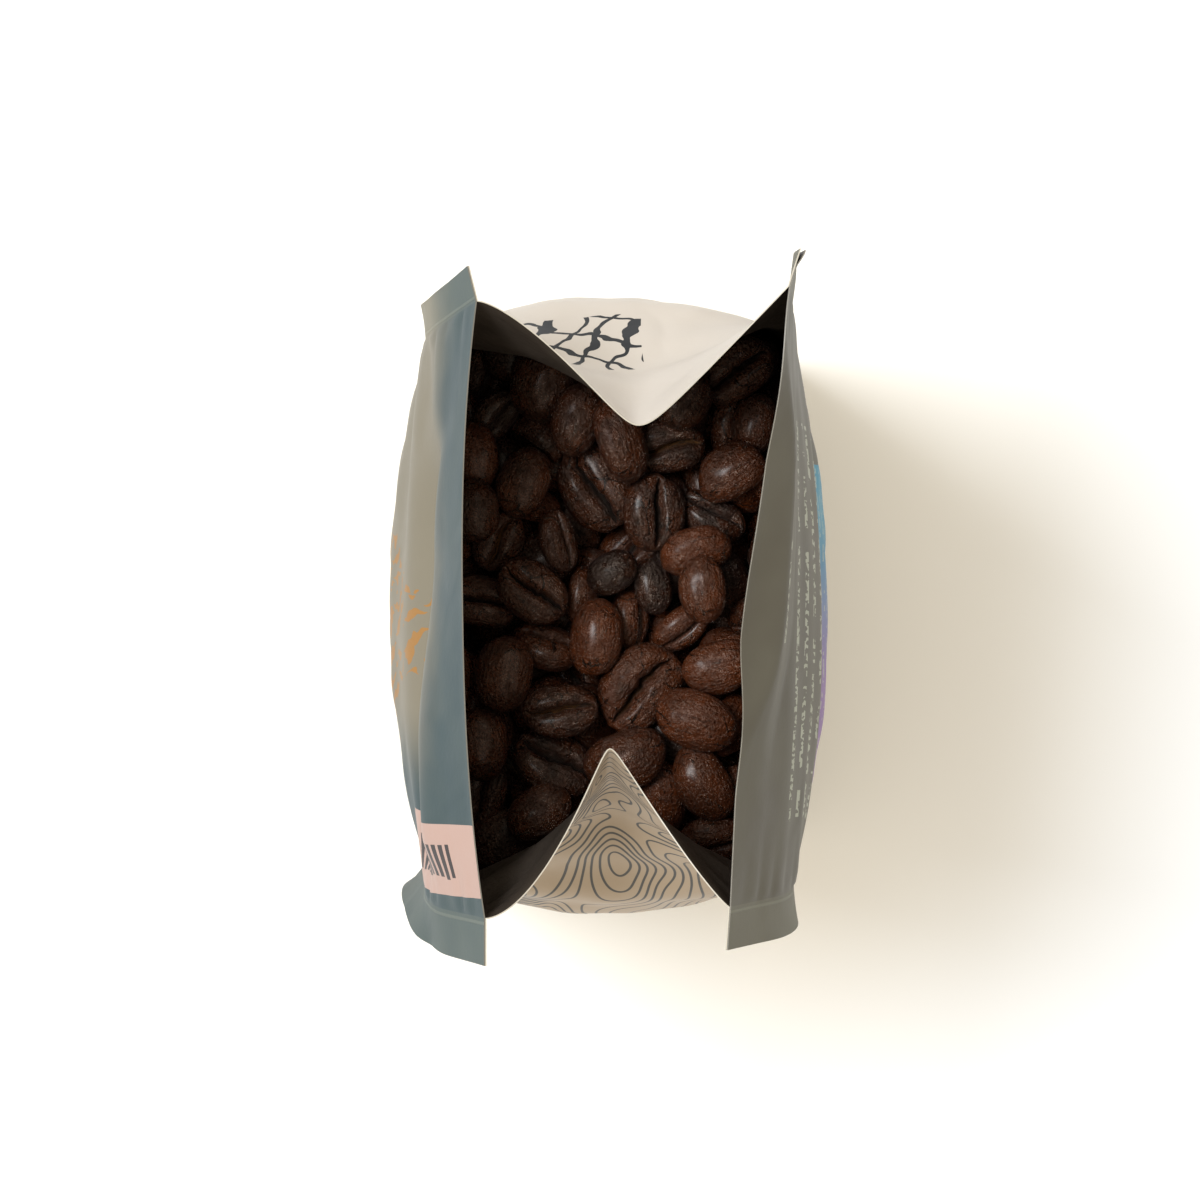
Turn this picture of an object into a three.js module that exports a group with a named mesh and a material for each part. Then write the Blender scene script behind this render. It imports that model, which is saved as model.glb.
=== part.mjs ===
// An open side-gusset coffee bag with four sealed corners, standing on its flat base and filled with
// roasted beans. Millimetres, +Z up. The front panel faces -Y and the gussets face -X and +X.
// The film leaves its base as a rounded rectangle, swells over the beans, and above them folds in
// as two V gussets, so that the cut mouth is narrow. Each corner seal stands out as a fin.
import * as THREE from "three";

// Driving dimensions.
const HEIGHT = 185; // base to cut rim
const FILM = 0.6; // wall, thicker than real laminate so that it is a sound solid
const GAP = 0.4; // between the beans and the film
const FILL_DEPTH = 33; // level of the beans below the rim
const BEAN_LENGTH = 12;
const FOLD_DEPTH = 55; // below the rim, where the gussets start to fold in
const FOLD_DROP = 5; // how far the rim dips at a gusset's fold
const BASE_RADIUS = 3.5; // rounding between the walls and the base

// Corners and gusset folds at the rim, and how far they spread in the filled body.
const RIM_CORNERS = {
  frontLeft: [-40.5, -17.7],
  frontRight: [41.7, -16.6],
  backRight: [40.2, 16.0],
  backLeft: [-42.5, 23.9],
};
const RIM_FOLDS = { right: [19.2, 0], left: [-24.1, 4.0] };

// How the two halves of a gusset run from seal to fold at the rim (1 is straight, more is bowed
// outward near the seal), and the rounding of the fold as a share of the half width.
const RIM_ARMS = { right: [1.8, 1.15], left: [1.0, 1.42] };
const FOLD_ROUND = { right: 0.05, left: 0.12 };

const BODY_CORNER = [38.0, 25.2];
const BODY_GUSSET = 44.4; // how far out a gusset swells at the belly

// Widths of the corner seals, which were not cut quite even.
const FIN_WIDTHS = { frontLeft: 4.9, frontRight: 6.4, backRight: 5.8, backLeft: 5.3 };

// Which way each fin points, in degrees from its gusset's outward direction, turning towards its own
// panel, by depth below the rim.
const FIN_LEAN = {
  frontLeft: [[0, 14], [12, 4], [28, 2], [45, 10], [90, 20], [185, 40]],
  frontRight: [[0, 0], [25, -8], [32, 8], [38, 20], [45, 32], [60, 44], [75, 48], [110, 44], [185, 45]],
  backRight: [[0, -4], [20, 0], [45, 6], [90, 20], [185, 40]],
  backLeft: [[0, 18], [8, 6], [45, 4], [90, 14], [185, 40]],
};

// Mesh fineness.
const PANEL_STEPS = 14;
const GUSSET_STEPS = 14;
const FIN_STEPS = 3;
const WALL_DEPTHS = [0, 3, 7, 12, 17, 22, 27, 33, 40, 49, 62, 82, 107, 135, 158, 173];
const BASE_HEIGHTS = [3.5, 1.6, 0.6];
const HEAP_RINGS = 9;

const clamp = (x) => Math.min(1, Math.max(0, x));
const mix = (a, b, t) => a + (b - a) * t;

function smooth(from, to, x) {
  const t = clamp((x - from) / (to - from));
  return t * t * (3 - 2 * t);
}

// A smooth value through [position, value] keys, held level beyond the ends.
function track(keys, x) {
  const last = keys.length - 1;
  if (x <= keys[0][0]) return keys[0][1];
  if (x >= keys[last][0]) return keys[last][1];
  const i = keys.findIndex((k) => k[0] > x) - 1;
  const slope = (a, b) => (keys[b][1] - keys[a][1]) / (keys[b][0] - keys[a][0]);
  const [x0, y0] = keys[i];
  const [x1, y1] = keys[i + 1];
  const m0 = i > 0 ? slope(i - 1, i + 1) : slope(i, i + 1);
  const m1 = i + 2 <= last ? slope(i, i + 2) : slope(i, i + 1);
  const w = x1 - x0;
  const t = (x - x0) / w;
  return (
    y0 * (1 + 2 * t) * (1 - t) ** 2 +
    m0 * w * t * (1 - t) ** 2 +
    y1 * t * t * (3 - 2 * t) +
    m1 * w * t * t * (t - 1)
  );
}

// How the shape changes with depth below the rim.
const SETTLE_X = {
  frontLeft: [[0, 0], [10, 0.55], [22, 1.25], [34, 1.3], [50, 1]],
  frontRight: [[0, 0], [22, 0.15], [45, 1]],
  backRight: [[0, 0], [22, 0.25], [45, 1]],
  backLeft: [[0, 0], [22, 0.3], [45, 1]],
};
const SETTLE_Y = [[0, 0], [10, 0.42], [20, 0.84], [31, 1.04], [45, 1.0]];
const FRONT_BOW = [[0, 2.4], [12, 1.5], [24, 0.8], [34, 2.6], [50, 5.8], [90, 6.2], [140, 5.0], [180, 1.2]];
const BACK_BOW = [[0, -0.9], [7, 0.6], [20, 1.6], [34, 3.6], [50, 5.6], [90, 6.0], [140, 4.8], [180, 1.2]];
const FOLD_IN = [[0, 1], [10, 0.86], [20, 0.71], [28, 0.58], [36, 0.36], [44, 0.14], [52, 0.03], [60, 0]];
const FOLD_CREASE = [[0, 1], [25, 0.9], [36, 0.5], [46, 0.1], [56, 0]];
const BELLY = [[0, 1], [90, 1], [140, 0.85], [185, 0.2]];
const FIN_CURL = [[0, 0], [26, 6], [62, 12], [110, 6], [185, 0]];

const CORNERS = ["frontLeft", "frontRight", "backRight", "backLeft"];
const sideOf = { frontLeft: [-1, -1], frontRight: [1, -1], backRight: [1, 1], backLeft: [-1, 1] };

// The seal line of a corner, in plan.
function corner(name, depth) {
  const rim = RIM_CORNERS[name];
  const t = [track(SETTLE_X[name], depth), track(SETTLE_Y, depth)];
  return rim.map((r, axis) => mix(r, sideOf[name][axis] * BODY_CORNER[axis], t[axis]));
}

// The front panel's crease: a ridge from the mouth's left corner down across the panel, left by
// rolling the bag shut, with a hollow under it. Positive is outward.
function frontCrease(x, depth) {
  const line = 3 + 18 * smooth(-38, -8, x);
  const below = depth - line;
  const ridge = 2.5 * smooth(-8, 20, x) * Math.max(0, 1 - Math.abs(below) / (below < 0 ? 20 : 6));
  const hollow = 3.1 * smooth(-32, -6, x) * Math.exp(-(((below - 4) / 5) ** 2));
  return (1 - smooth(31, 39, x)) * (ridge - hollow);
}

// The back panel's crease, close under the rim, and the rim drawn in above it.
function backCrease(x, depth) {
  const line = 6.5 * smooth(-44, -14, x) * (1 - smooth(0, 27, x));
  const strength = smooth(-42, -20, x) * (1 - smooth(8, 27, x));
  const ridge = 1.9 * strength * Math.max(0, 1 - Math.abs(depth - line) / (depth < line ? 6 : 9));
  return ridge - 1.1 * Math.exp(-(((x - 4) / 15) ** 2)) * (1 - smooth(0, 7, depth));
}

// A panel's shape between its two seals: flat ends, fullest in the middle.
const swell = (u) => 1 - Math.abs(2 * u - 1) ** 2.4;

// A gusset between its two seals: a V with a rounded tip, easing into a plain outward bow lower down.
function fold(side, u, depth) {
  const key = side === 1 ? "right" : "left";
  const s = Math.abs(2 * u - 1);
  const round = FOLD_ROUND[key];
  const tent = 1 - (Math.hypot(s, round) - round) / (Math.hypot(1, round) - round);
  const arm = mix(RIM_ARMS[key][u < 0.5 ? 0 : 1], 1, smooth(0, 30, depth));
  return mix(1 - s ** 2.2, tent ** arm, track(FOLD_CREASE, depth));
}

// The film's middle surface. side 0 is the front, 1 the right gusset, 2 the back, 3 the left gusset,
// and u runs along it counter-clockwise as seen from above.
function filmPoint(side, u, depth) {
  const a = corner(CORNERS[side], depth);
  const b = corner(CORNERS[(side + 1) % 4], depth);
  let x = mix(a[0], b[0], u);
  let y = mix(a[1], b[1], u);
  let drop = 0;
  if (side === 0) y -= track(FRONT_BOW, depth) * swell(u) + frontCrease(x, depth);
  if (side === 2) y += track(BACK_BOW, depth) * swell(u) + backCrease(x, depth);
  if (side === 1 || side === 3) {
    const out = side === 1 ? 1 : -1;
    const rim = side === 1 ? RIM_FOLDS.right : RIM_FOLDS.left;
    const rise = 1 - clamp(depth / FOLD_DEPTH);
    const bulge = BODY_CORNER[0] + (BODY_GUSSET - BODY_CORNER[0]) * track(BELLY, depth);
    const tip = [mix(out * bulge, rim[0], track(FOLD_IN, depth)), mix(0, rim[1], rise)];
    const shape = fold(side, u, depth);
    x += (tip[0] - (a[0] + b[0]) / 2) * shape;
    y += (tip[1] - (a[1] + b[1]) / 2) * shape;
    drop = FOLD_DROP * rise ** 2 * shape;
  }
  return new THREE.Vector3(x, y, HEIGHT - depth - drop);
}

const stepsOf = (side) => (side % 2 ? GUSSET_STEPS : PANEL_STEPS);

// Outward in plan, square to the film's run.
function outward(side, u, depth) {
  const e = 1 / stepsOf(side);
  const run = filmPoint(side, Math.min(1, u + e), depth).sub(filmPoint(side, Math.max(0, u - e), depth));
  return new THREE.Vector3(run.y, -run.x, 0).normalize();
}

// Draws a point towards the upright axis, for the rounding above the base.
function drawIn(p, by) {
  const r = Math.hypot(p.x, p.y);
  p.x -= (p.x / r) * by;
  p.y -= (p.y / r) * by;
  return p;
}

// A fin's two faces at one depth: points from its root to its edge, then back along the other face.
function finPoints(cornerIndex, depth) {
  const name = CORNERS[cornerIndex];
  const [sx, sy] = sideOf[name];
  const root = filmPoint(cornerIndex, 0, depth);
  const grow = 0.13 + 0.87 * smooth(184, 172, depth);
  const lean = track(FIN_LEAN[name], depth);
  const curl = track(FIN_CURL, depth);
  const faces = [[], []];
  const at = root.clone();
  const steps = FIN_STEPS * 4;
  for (let i = 1; i <= steps; i++) {
    const angle = THREE.MathUtils.degToRad(lean + (curl * (i - 0.5)) / steps);
    const along = new THREE.Vector3(sx * Math.cos(angle), sy * Math.sin(angle), 0);
    at.addScaledVector(along, (FIN_WIDTHS[name] * grow) / steps);
    if (i % 4) continue;
    const across = new THREE.Vector3(along.y, -along.x, 0).multiplyScalar(FILM * 0.9);
    faces[0].push(at.clone().add(across));
    faces[1].push(at.clone().sub(across));
  }
  return [...faces[0], ...faces[1].reverse()];
}

// The point where the inner faces of two sides meet in a corner.
function innerCorner(cornerIndex, depth, offset) {
  const before = (cornerIndex + 3) % 4;
  const n0 = outward(before, 1, depth);
  const n1 = outward(cornerIndex, 0, depth);
  const between = n0.clone().add(n1).normalize();
  const reach = offset / Math.max(0.3, between.dot(n1));
  return filmPoint(cornerIndex, 0, depth).addScaledVector(between, -reach);
}

// One level of the outside: each side's points, then the fin that ends it.
function outerRing(depth, inset) {
  const ring = [];
  for (let side = 0; side < 4; side++) {
    for (let j = 0; j <= stepsOf(side); j++) {
      const u = j / stepsOf(side);
      ring.push(filmPoint(side, u, depth).addScaledVector(outward(side, u, depth), FILM / 2));
    }
    ring.push(...finPoints((side + 1) % 4, depth));
  }
  return ring.map((p) => drawIn(p, inset));
}

// One level of the inside, offset from the film's middle: a corner point, then the side's points.
function innerRing(depth, inset, offset) {
  const ring = [];
  for (let side = 0; side < 4; side++) {
    ring.push(innerCorner(side, depth, offset));
    for (let j = 1; j < stepsOf(side); j++) {
      const u = j / stepsOf(side);
      ring.push(filmPoint(side, u, depth).addScaledVector(outward(side, u, depth), -offset));
    }
  }
  return ring.map((p) => drawIn(p, inset));
}

// How far a rounding of this radius, whose centre is at BASE_RADIUS, draws in at a height.
function roundingInset(radius, height) {
  const below = BASE_RADIUS - height;
  return below <= 0 ? 0 : radius - Math.sqrt(Math.max(0, radius ** 2 - below ** 2));
}

// Collects points and triangles into one closed surface.
class Skin {
  constructor() {
    this.points = [];
    this.faces = [];
  }
  addRing(ring) {
    const first = this.points.length;
    this.points.push(...ring);
    return ring.map((_, i) => first + i);
  }
  quad(a, b, c, d) {
    this.faces.push(a, b, c, a, c, d);
  }
  // Joins two levels of equal count; upper is the level nearer +Z, facing out when wound so.
  wall(upper, lower, facingOut = true) {
    upper.forEach((_, i) => {
      const n = (i + 1) % upper.length;
      if (facingOut) this.quad(lower[i], lower[n], upper[n], upper[i]);
      else this.quad(lower[i], upper[i], upper[n], lower[n]);
    });
  }
  // Fills a flat ring with triangles, facing up or down.
  cap(ring, facingUp) {
    const outline = ring.map((i) => new THREE.Vector2(this.points[i].x, this.points[i].y));
    for (const [a, b, c] of THREE.ShapeUtils.triangulateShape(outline, [])) {
      const tri = [ring[a], ring[b], ring[c]];
      this.faces.push(...(facingUp ? tri : tri.reverse()));
    }
  }
  geometry() {
    const made = new THREE.BufferGeometry().setFromPoints(this.points);
    made.setIndex(this.faces);
    made.computeVertexNormals();
    return made;
  }
}

// Joins the outside to the inside along the cut rim, and closes the fins' cut ends.
function closeRim(skin, outer, inner) {
  let o = 0;
  let i = 0;
  for (let side = 0; side < 4; side++) {
    const steps = stepsOf(side);
    for (let j = 0; j < steps; j++) {
      skin.quad(outer[o + j], outer[o + j + 1], inner[(i + j + 1) % inner.length], inner[i + j]);
    }
    const fin = o + steps + 1;
    const back = fin + 2 * FIN_STEPS - 1;
    const next = (fin + 2 * FIN_STEPS) % outer.length;
    const meet = inner[(i + steps) % inner.length];
    skin.faces.push(meet, outer[fin - 1], outer[fin]);
    skin.faces.push(meet, outer[fin], outer[back]);
    skin.faces.push(meet, outer[back], outer[next]);
    for (let k = 0; k < FIN_STEPS - 1; k++) {
      skin.quad(outer[fin + k], outer[fin + k + 1], outer[back - k - 1], outer[back - k]);
    }
    o = fin + 2 * FIN_STEPS;
    i += steps;
  }
}

function bagGeometry() {
  const skin = new Skin();
  const outer = WALL_DEPTHS.map((depth) => skin.addRing(outerRing(depth, 0)));
  const inner = WALL_DEPTHS.map((depth) => skin.addRing(innerRing(depth, 0, FILM / 2)));
  for (const height of BASE_HEIGHTS) {
    const depth = HEIGHT - height;
    outer.push(skin.addRing(outerRing(depth, roundingInset(BASE_RADIUS, height))));
    inner.push(skin.addRing(innerRing(depth, roundingInset(BASE_RADIUS - FILM, height), FILM / 2)));
  }
  outer.push(skin.addRing(outerRing(HEIGHT, BASE_RADIUS)));
  for (let i = 1; i < outer.length; i++) skin.wall(outer[i - 1], outer[i]);
  for (let i = 1; i < inner.length; i++) skin.wall(inner[i - 1], inner[i], false);
  closeRim(skin, outer[0], inner[0]);
  skin.cap(outer.at(-1), false);
  skin.cap(inner.at(-1), true);
  return skin.geometry();
}

// Domes of bean size on a jittered grid give the heap its uneven top.
function heapHeight(x, y) {
  const pitch = BEAN_LENGTH * 0.78;
  const wander = (i, j, k) => Math.sin(i * 12.99 + j * 78.23 + k * 37.7) * 0.3;
  let top = 0;
  const ci = Math.round(x / pitch);
  const cj = Math.round(y / pitch);
  for (let i = ci - 1; i <= ci + 1; i++) {
    for (let j = cj - 1; j <= cj + 1; j++) {
      const dx = x / pitch - i - wander(i, j, 1);
      const dy = y / pitch - j - wander(i, j, 2);
      const dome = Math.max(0, 1 - (dx * dx + dy * dy) * 1.5);
      top = Math.max(top, Math.sqrt(dome) * (0.7 + wander(i, j, 3)));
    }
  }
  return top * BEAN_LENGTH * 0.3;
}

function beansGeometry() {
  const skin = new Skin();
  const offset = FILM / 2 + GAP;
  const floor = FILM + GAP;
  const radius = BASE_RADIUS - FILM - GAP;
  const wallDepths = WALL_DEPTHS.filter((depth) => depth > FILL_DEPTH + 2);
  const levels = [FILL_DEPTH, ...wallDepths].map((depth) => skin.addRing(innerRing(depth, 0, offset)));
  for (const height of [BASE_RADIUS, 1.9, floor]) {
    const ring = innerRing(HEIGHT - height, roundingInset(radius, height), offset);
    levels.push(skin.addRing(ring));
  }
  for (let i = 1; i < levels.length; i++) skin.wall(levels[i - 1], levels[i]);
  skin.cap(levels.at(-1), false);
  // The heap's top: rings drawn in towards the middle, each point lifted to the heap's height.
  const edge = levels[0].map((i) => skin.points[i]);
  let outside = levels[0];
  for (let k = 1; k < HEAP_RINGS; k++) {
    const share = 1 - k / HEAP_RINGS;
    const ring = edge.map((p) => {
      const x = p.x * share;
      const y = p.y * share;
      return new THREE.Vector3(x, y, HEIGHT - FILL_DEPTH + heapHeight(x, y));
    });
    const inside = skin.addRing(ring);
    skin.wall(inside, outside);
    outside = inside;
  }
  const [middle] = skin.addRing([new THREE.Vector3(0, 0, HEIGHT - FILL_DEPTH + heapHeight(0, 0))]);
  outside.forEach((p, i) => skin.faces.push(p, outside[(i + 1) % outside.length], middle));
  return skin.geometry();
}

function makeMesh(name, geometry, look) {
  const mesh = new THREE.Mesh(geometry, new THREE.MeshStandardMaterial(look));
  mesh.name = name;
  return mesh;
}

const bag = new THREE.Group();
bag.name = "coffee_bag";
bag.add(makeMesh("film_bag", bagGeometry(), { color: 0x6d7a7c, roughness: 0.45, metalness: 0 }));
bag.add(makeMesh("coffee_beans", beansGeometry(), { color: 0x3a2018, roughness: 0.4, metalness: 0 }));

export default bag;
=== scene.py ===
"""An open side-gusset coffee bag, full of dark roasted beans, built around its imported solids.

Shapes are worked out in millimetres and written in metres. +Z is up, the front panel faces -Y and the
gussets face -X and +X. Sides are numbered counter-clockwise as seen from above: front, right gusset,
back, left gusset; each begins at the corner of the same number.
"""

import logging
import math
from collections.abc import Callable
from dataclasses import dataclass, field
from enum import Enum, IntEnum

import bpy
import numpy as np
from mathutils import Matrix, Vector

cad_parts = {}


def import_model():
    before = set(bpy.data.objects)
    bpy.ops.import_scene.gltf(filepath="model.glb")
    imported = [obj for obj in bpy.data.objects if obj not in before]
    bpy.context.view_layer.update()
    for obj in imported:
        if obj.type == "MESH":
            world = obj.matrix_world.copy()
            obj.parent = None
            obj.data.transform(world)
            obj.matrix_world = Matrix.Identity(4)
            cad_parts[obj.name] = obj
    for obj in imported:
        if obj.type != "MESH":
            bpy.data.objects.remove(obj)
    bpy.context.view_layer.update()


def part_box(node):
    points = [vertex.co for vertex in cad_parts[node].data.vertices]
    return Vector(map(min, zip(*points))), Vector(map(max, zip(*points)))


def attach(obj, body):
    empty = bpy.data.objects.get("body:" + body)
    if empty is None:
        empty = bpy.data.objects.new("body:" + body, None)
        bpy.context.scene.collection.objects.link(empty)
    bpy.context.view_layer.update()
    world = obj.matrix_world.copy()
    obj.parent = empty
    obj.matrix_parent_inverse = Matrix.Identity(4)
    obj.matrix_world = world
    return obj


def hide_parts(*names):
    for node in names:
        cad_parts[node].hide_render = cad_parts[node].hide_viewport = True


LOG = logging.getLogger("coffee_bag")
MM = 0.001
Keys = tuple[tuple[float, float], ...]
Colour = tuple[float, float, float]


class Side(IntEnum):
    """The four sides of the bag, counter-clockwise from above."""

    FRONT = 0
    RIGHT = 1
    BACK = 2
    LEFT = 3


class Skin(IntEnum):
    """Material slots of the film."""

    PRINTED = 0
    INSIDE = 1
    CUT = 2


class BeanKind(Enum):
    """How a bean grew or broke."""

    WHOLE = "whole"
    PEABERRY = "peaberry"
    BROKEN = "broken"


# ------------------------------------------------------------------------------------- number work


def smooth(start: float, end: float, x: np.ndarray) -> np.ndarray:
    """Eases from 0 at start to 1 at end.

    Args:
        start: Where the result leaves 0.
        end: Where the result reaches 1.
        x: Positions.

    Returns:
        The eased share at each position.
    """
    t = np.clip((x - start) / (end - start), 0, 1)
    return t * t * (3 - 2 * t)


def mix(a: np.ndarray, b: np.ndarray, t: np.ndarray) -> np.ndarray:
    """The value a share t of the way from a to b."""
    return a + (b - a) * t


def track(keys: Keys, x: np.ndarray) -> np.ndarray:
    """A smooth value through keyed points, held level beyond the ends.

    Args:
        keys: Pairs of position and value, in order.
        x: Positions.

    Returns:
        The value at each position.
    """
    at, value = (np.array(column, float) for column in zip(*keys))
    x = np.clip(x, at[0], at[-1])
    i = np.clip(np.searchsorted(at, x, side="right") - 1, 0, len(at) - 2)
    slope = np.empty(len(at))
    slope[1:-1] = (value[2:] - value[:-2]) / (at[2:] - at[:-2])
    slope[0] = (value[1] - value[0]) / (at[1] - at[0])
    slope[-1] = (value[-1] - value[-2]) / (at[-1] - at[-2])
    w = at[i + 1] - at[i]
    t = (x - at[i]) / w
    return (
        value[i] * (1 + 2 * t) * (1 - t) ** 2
        + slope[i] * w * t * (1 - t) ** 2
        + value[i + 1] * t * t * (3 - 2 * t)
        + slope[i + 1] * w * t * t * (t - 1)
    )


def unit(v: np.ndarray) -> np.ndarray:
    """Vectors scaled to length 1."""
    return v / np.maximum(np.linalg.norm(v, axis=-1, keepdims=True), 1e-9)


@dataclass(frozen=True)
class Ripples:
    """A smooth seeded field: a sum of sine waves in many directions.

    Attributes:
        seed: Seed of the waves.
        span: Typical wavelength along each coordinate.
        waves: How many waves are summed.
    """

    seed: int
    span: tuple[float, ...]
    waves: int = 16

    def __call__(self, *where: np.ndarray) -> np.ndarray:
        """The field's value, mostly between -1 and 1.

        Args:
            *where: One array for each coordinate.

        Returns:
            The value at each place.
        """
        rng = np.random.default_rng(self.seed)
        heading = unit(rng.normal(size=(self.waves, len(self.span))))
        pace = rng.uniform(0.6, 1.6, (self.waves, 1)) * 2 * math.pi / np.array(self.span)
        phase = rng.uniform(0, 2 * math.pi, self.waves)
        angle = np.stack(np.broadcast_arrays(*where), -1) @ (heading * pace).T + phase
        return np.sin(angle).sum(-1) * math.sqrt(1 / self.waves)


class MeshParts:
    """Collects vertices, faces and per-vertex values, and turns them into one object."""

    def __init__(self) -> None:
        """Starts with nothing."""
        self.points: list[np.ndarray] = []
        self.faces: list[np.ndarray] = []
        self.slots: list[np.ndarray] = []
        self.values: dict[str, list[np.ndarray]] = {}
        self.count = 0

    def add(self, points: np.ndarray, *faces: np.ndarray, slot: int = 0, **values: np.ndarray) -> None:
        """Adds a patch of surface.

        Args:
            points: Vertices in millimetres, (N, 3).
            *faces: Vertex numbers of triangles or quads within this patch.
            slot: Material slot of the faces.
            **values: Per-vertex values by attribute name, (N,) or (N, 3).
        """
        self.points.append(points)
        for patch in faces:
            self.faces.append(patch + self.count)
            self.slots.append(np.full(len(patch), slot))
        for name, value in values.items():
            self.values.setdefault(name, []).append(value)
        self.count += len(points)

    def build(self, name: str, materials: list[bpy.types.Material]) -> bpy.types.Object:
        """Makes the object, smooth shaded.

        Args:
            name: The object's name.
            materials: One for each material slot.

        Returns:
            The new object, linked to the scene.
        """
        mesh = bpy.data.meshes.new(name)
        faces = [face for patch in self.faces for face in patch.tolist()]
        mesh.from_pydata((np.concatenate(self.points) * MM).tolist(), [], faces)
        for key, patches in self.values.items():
            value = np.concatenate(patches).astype(np.float32)
            kind = "FLOAT_VECTOR" if value.ndim == 2 else "FLOAT"
            layer = mesh.attributes.new(key, kind, "POINT")
            layer.data.foreach_set("vector" if value.ndim == 2 else "value", value.ravel())
        for material in materials:
            mesh.materials.append(material)
        mesh.polygons.foreach_set("material_index", np.concatenate(self.slots).astype(np.int32))
        mesh.polygons.foreach_set("use_smooth", np.ones(len(mesh.polygons), bool))
        mesh.update()
        made = bpy.data.objects.new(name, mesh)
        bpy.context.scene.collection.objects.link(made)
        return made


def grid_faces(rows: int, cols: int, start: int = 0, wrap: bool = False) -> np.ndarray:
    """Quads between the points of a grid numbered row by row.

    Args:
        rows: Rows of points.
        cols: Points in a row.
        start: Number of the first point.
        wrap: Whether each row's end joins its beginning.

    Returns:
        The quads, facing the way of (down the rows) x (along a row).
    """
    r, c = np.meshgrid(np.arange(rows - 1), np.arange(cols if wrap else cols - 1), indexing="ij")
    n = (c + 1) % cols
    quads = np.stack([r * cols + c, (r + 1) * cols + c, (r + 1) * cols + n, r * cols + n], -1)
    return quads.reshape(-1, 4) + start


# ---------------------------------------------------------------------------------- shader writing


class Sock:
    """A node socket that arithmetic can be written on; each operator adds a node."""

    def __init__(self, sheet: "Sheet", socket: bpy.types.NodeSocket) -> None:
        """Wraps one output socket of a sheet's node."""
        self.sheet = sheet
        self.socket = socket

    def _is_colour(self, other: object) -> bool:
        """Whether this or the other operand has three parts."""
        return any(isinstance(s, Sock) and s.socket.type in ("VECTOR", "RGBA") for s in (self, other))

    def _maths(self, operation: str, a: object, b: object) -> "Sock":
        """A Math or Vector Math node, whichever the operands need."""
        node = "ShaderNodeVectorMath" if self._is_colour(b if a is self else a) else "ShaderNodeMath"
        return self.sheet.node(node, {"operation": operation}, {0: a, 1: b})

    def __add__(self, other: object) -> "Sock":
        """self + other."""
        return self._maths("ADD", self, other)

    def __sub__(self, other: object) -> "Sock":
        """self - other."""
        return self._maths("SUBTRACT", self, other)

    def __mul__(self, other: object) -> "Sock":
        """self * other."""
        return self._maths("MULTIPLY", self, other)

    def __truediv__(self, other: object) -> "Sock":
        """self / other."""
        return self._maths("DIVIDE", self, other)

    def __rsub__(self, other: object) -> "Sock":
        """other - self."""
        return self._maths("SUBTRACT", other, self)

    def __gt__(self, other: object) -> "Sock":
        """1 where self is more than other."""
        return self._maths("GREATER_THAN", self, other)

    def __lt__(self, other: object) -> "Sock":
        """1 where self is less than other."""
        return self._maths("LESS_THAN", self, other)

    def __pow__(self, other: object) -> "Sock":
        """self to the power of other."""
        return self._maths("POWER", self, other)

    def __abs__(self) -> "Sock":
        """The size of self."""
        return self._maths("ABSOLUTE", self, 0.0)

    __radd__ = __add__
    __rmul__ = __mul__

    def fraction(self) -> "Sock":
        """What is left over the whole number below."""
        return self._maths("FRACT", self, 0.0)

    def floor(self) -> "Sock":
        """The whole number below."""
        return self._maths("FLOOR", self, 0.0)

    def ramp(self, start: float, end: float) -> "Sock":
        """Eases from 0 at start to 1 at end; start may be the larger.

        Args:
            start: Where the result leaves 0.
            end: Where the result reaches 1.

        Returns:
            The eased share.
        """
        falls = start > end
        limits = {1: end, 2: start} if falls else {1: start, 2: end}
        eased = self.sheet.node("ShaderNodeMapRange", {"interpolation_type": "SMOOTHSTEP"},
                                {0: self, **limits})
        return 1 - eased if falls else eased


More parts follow.
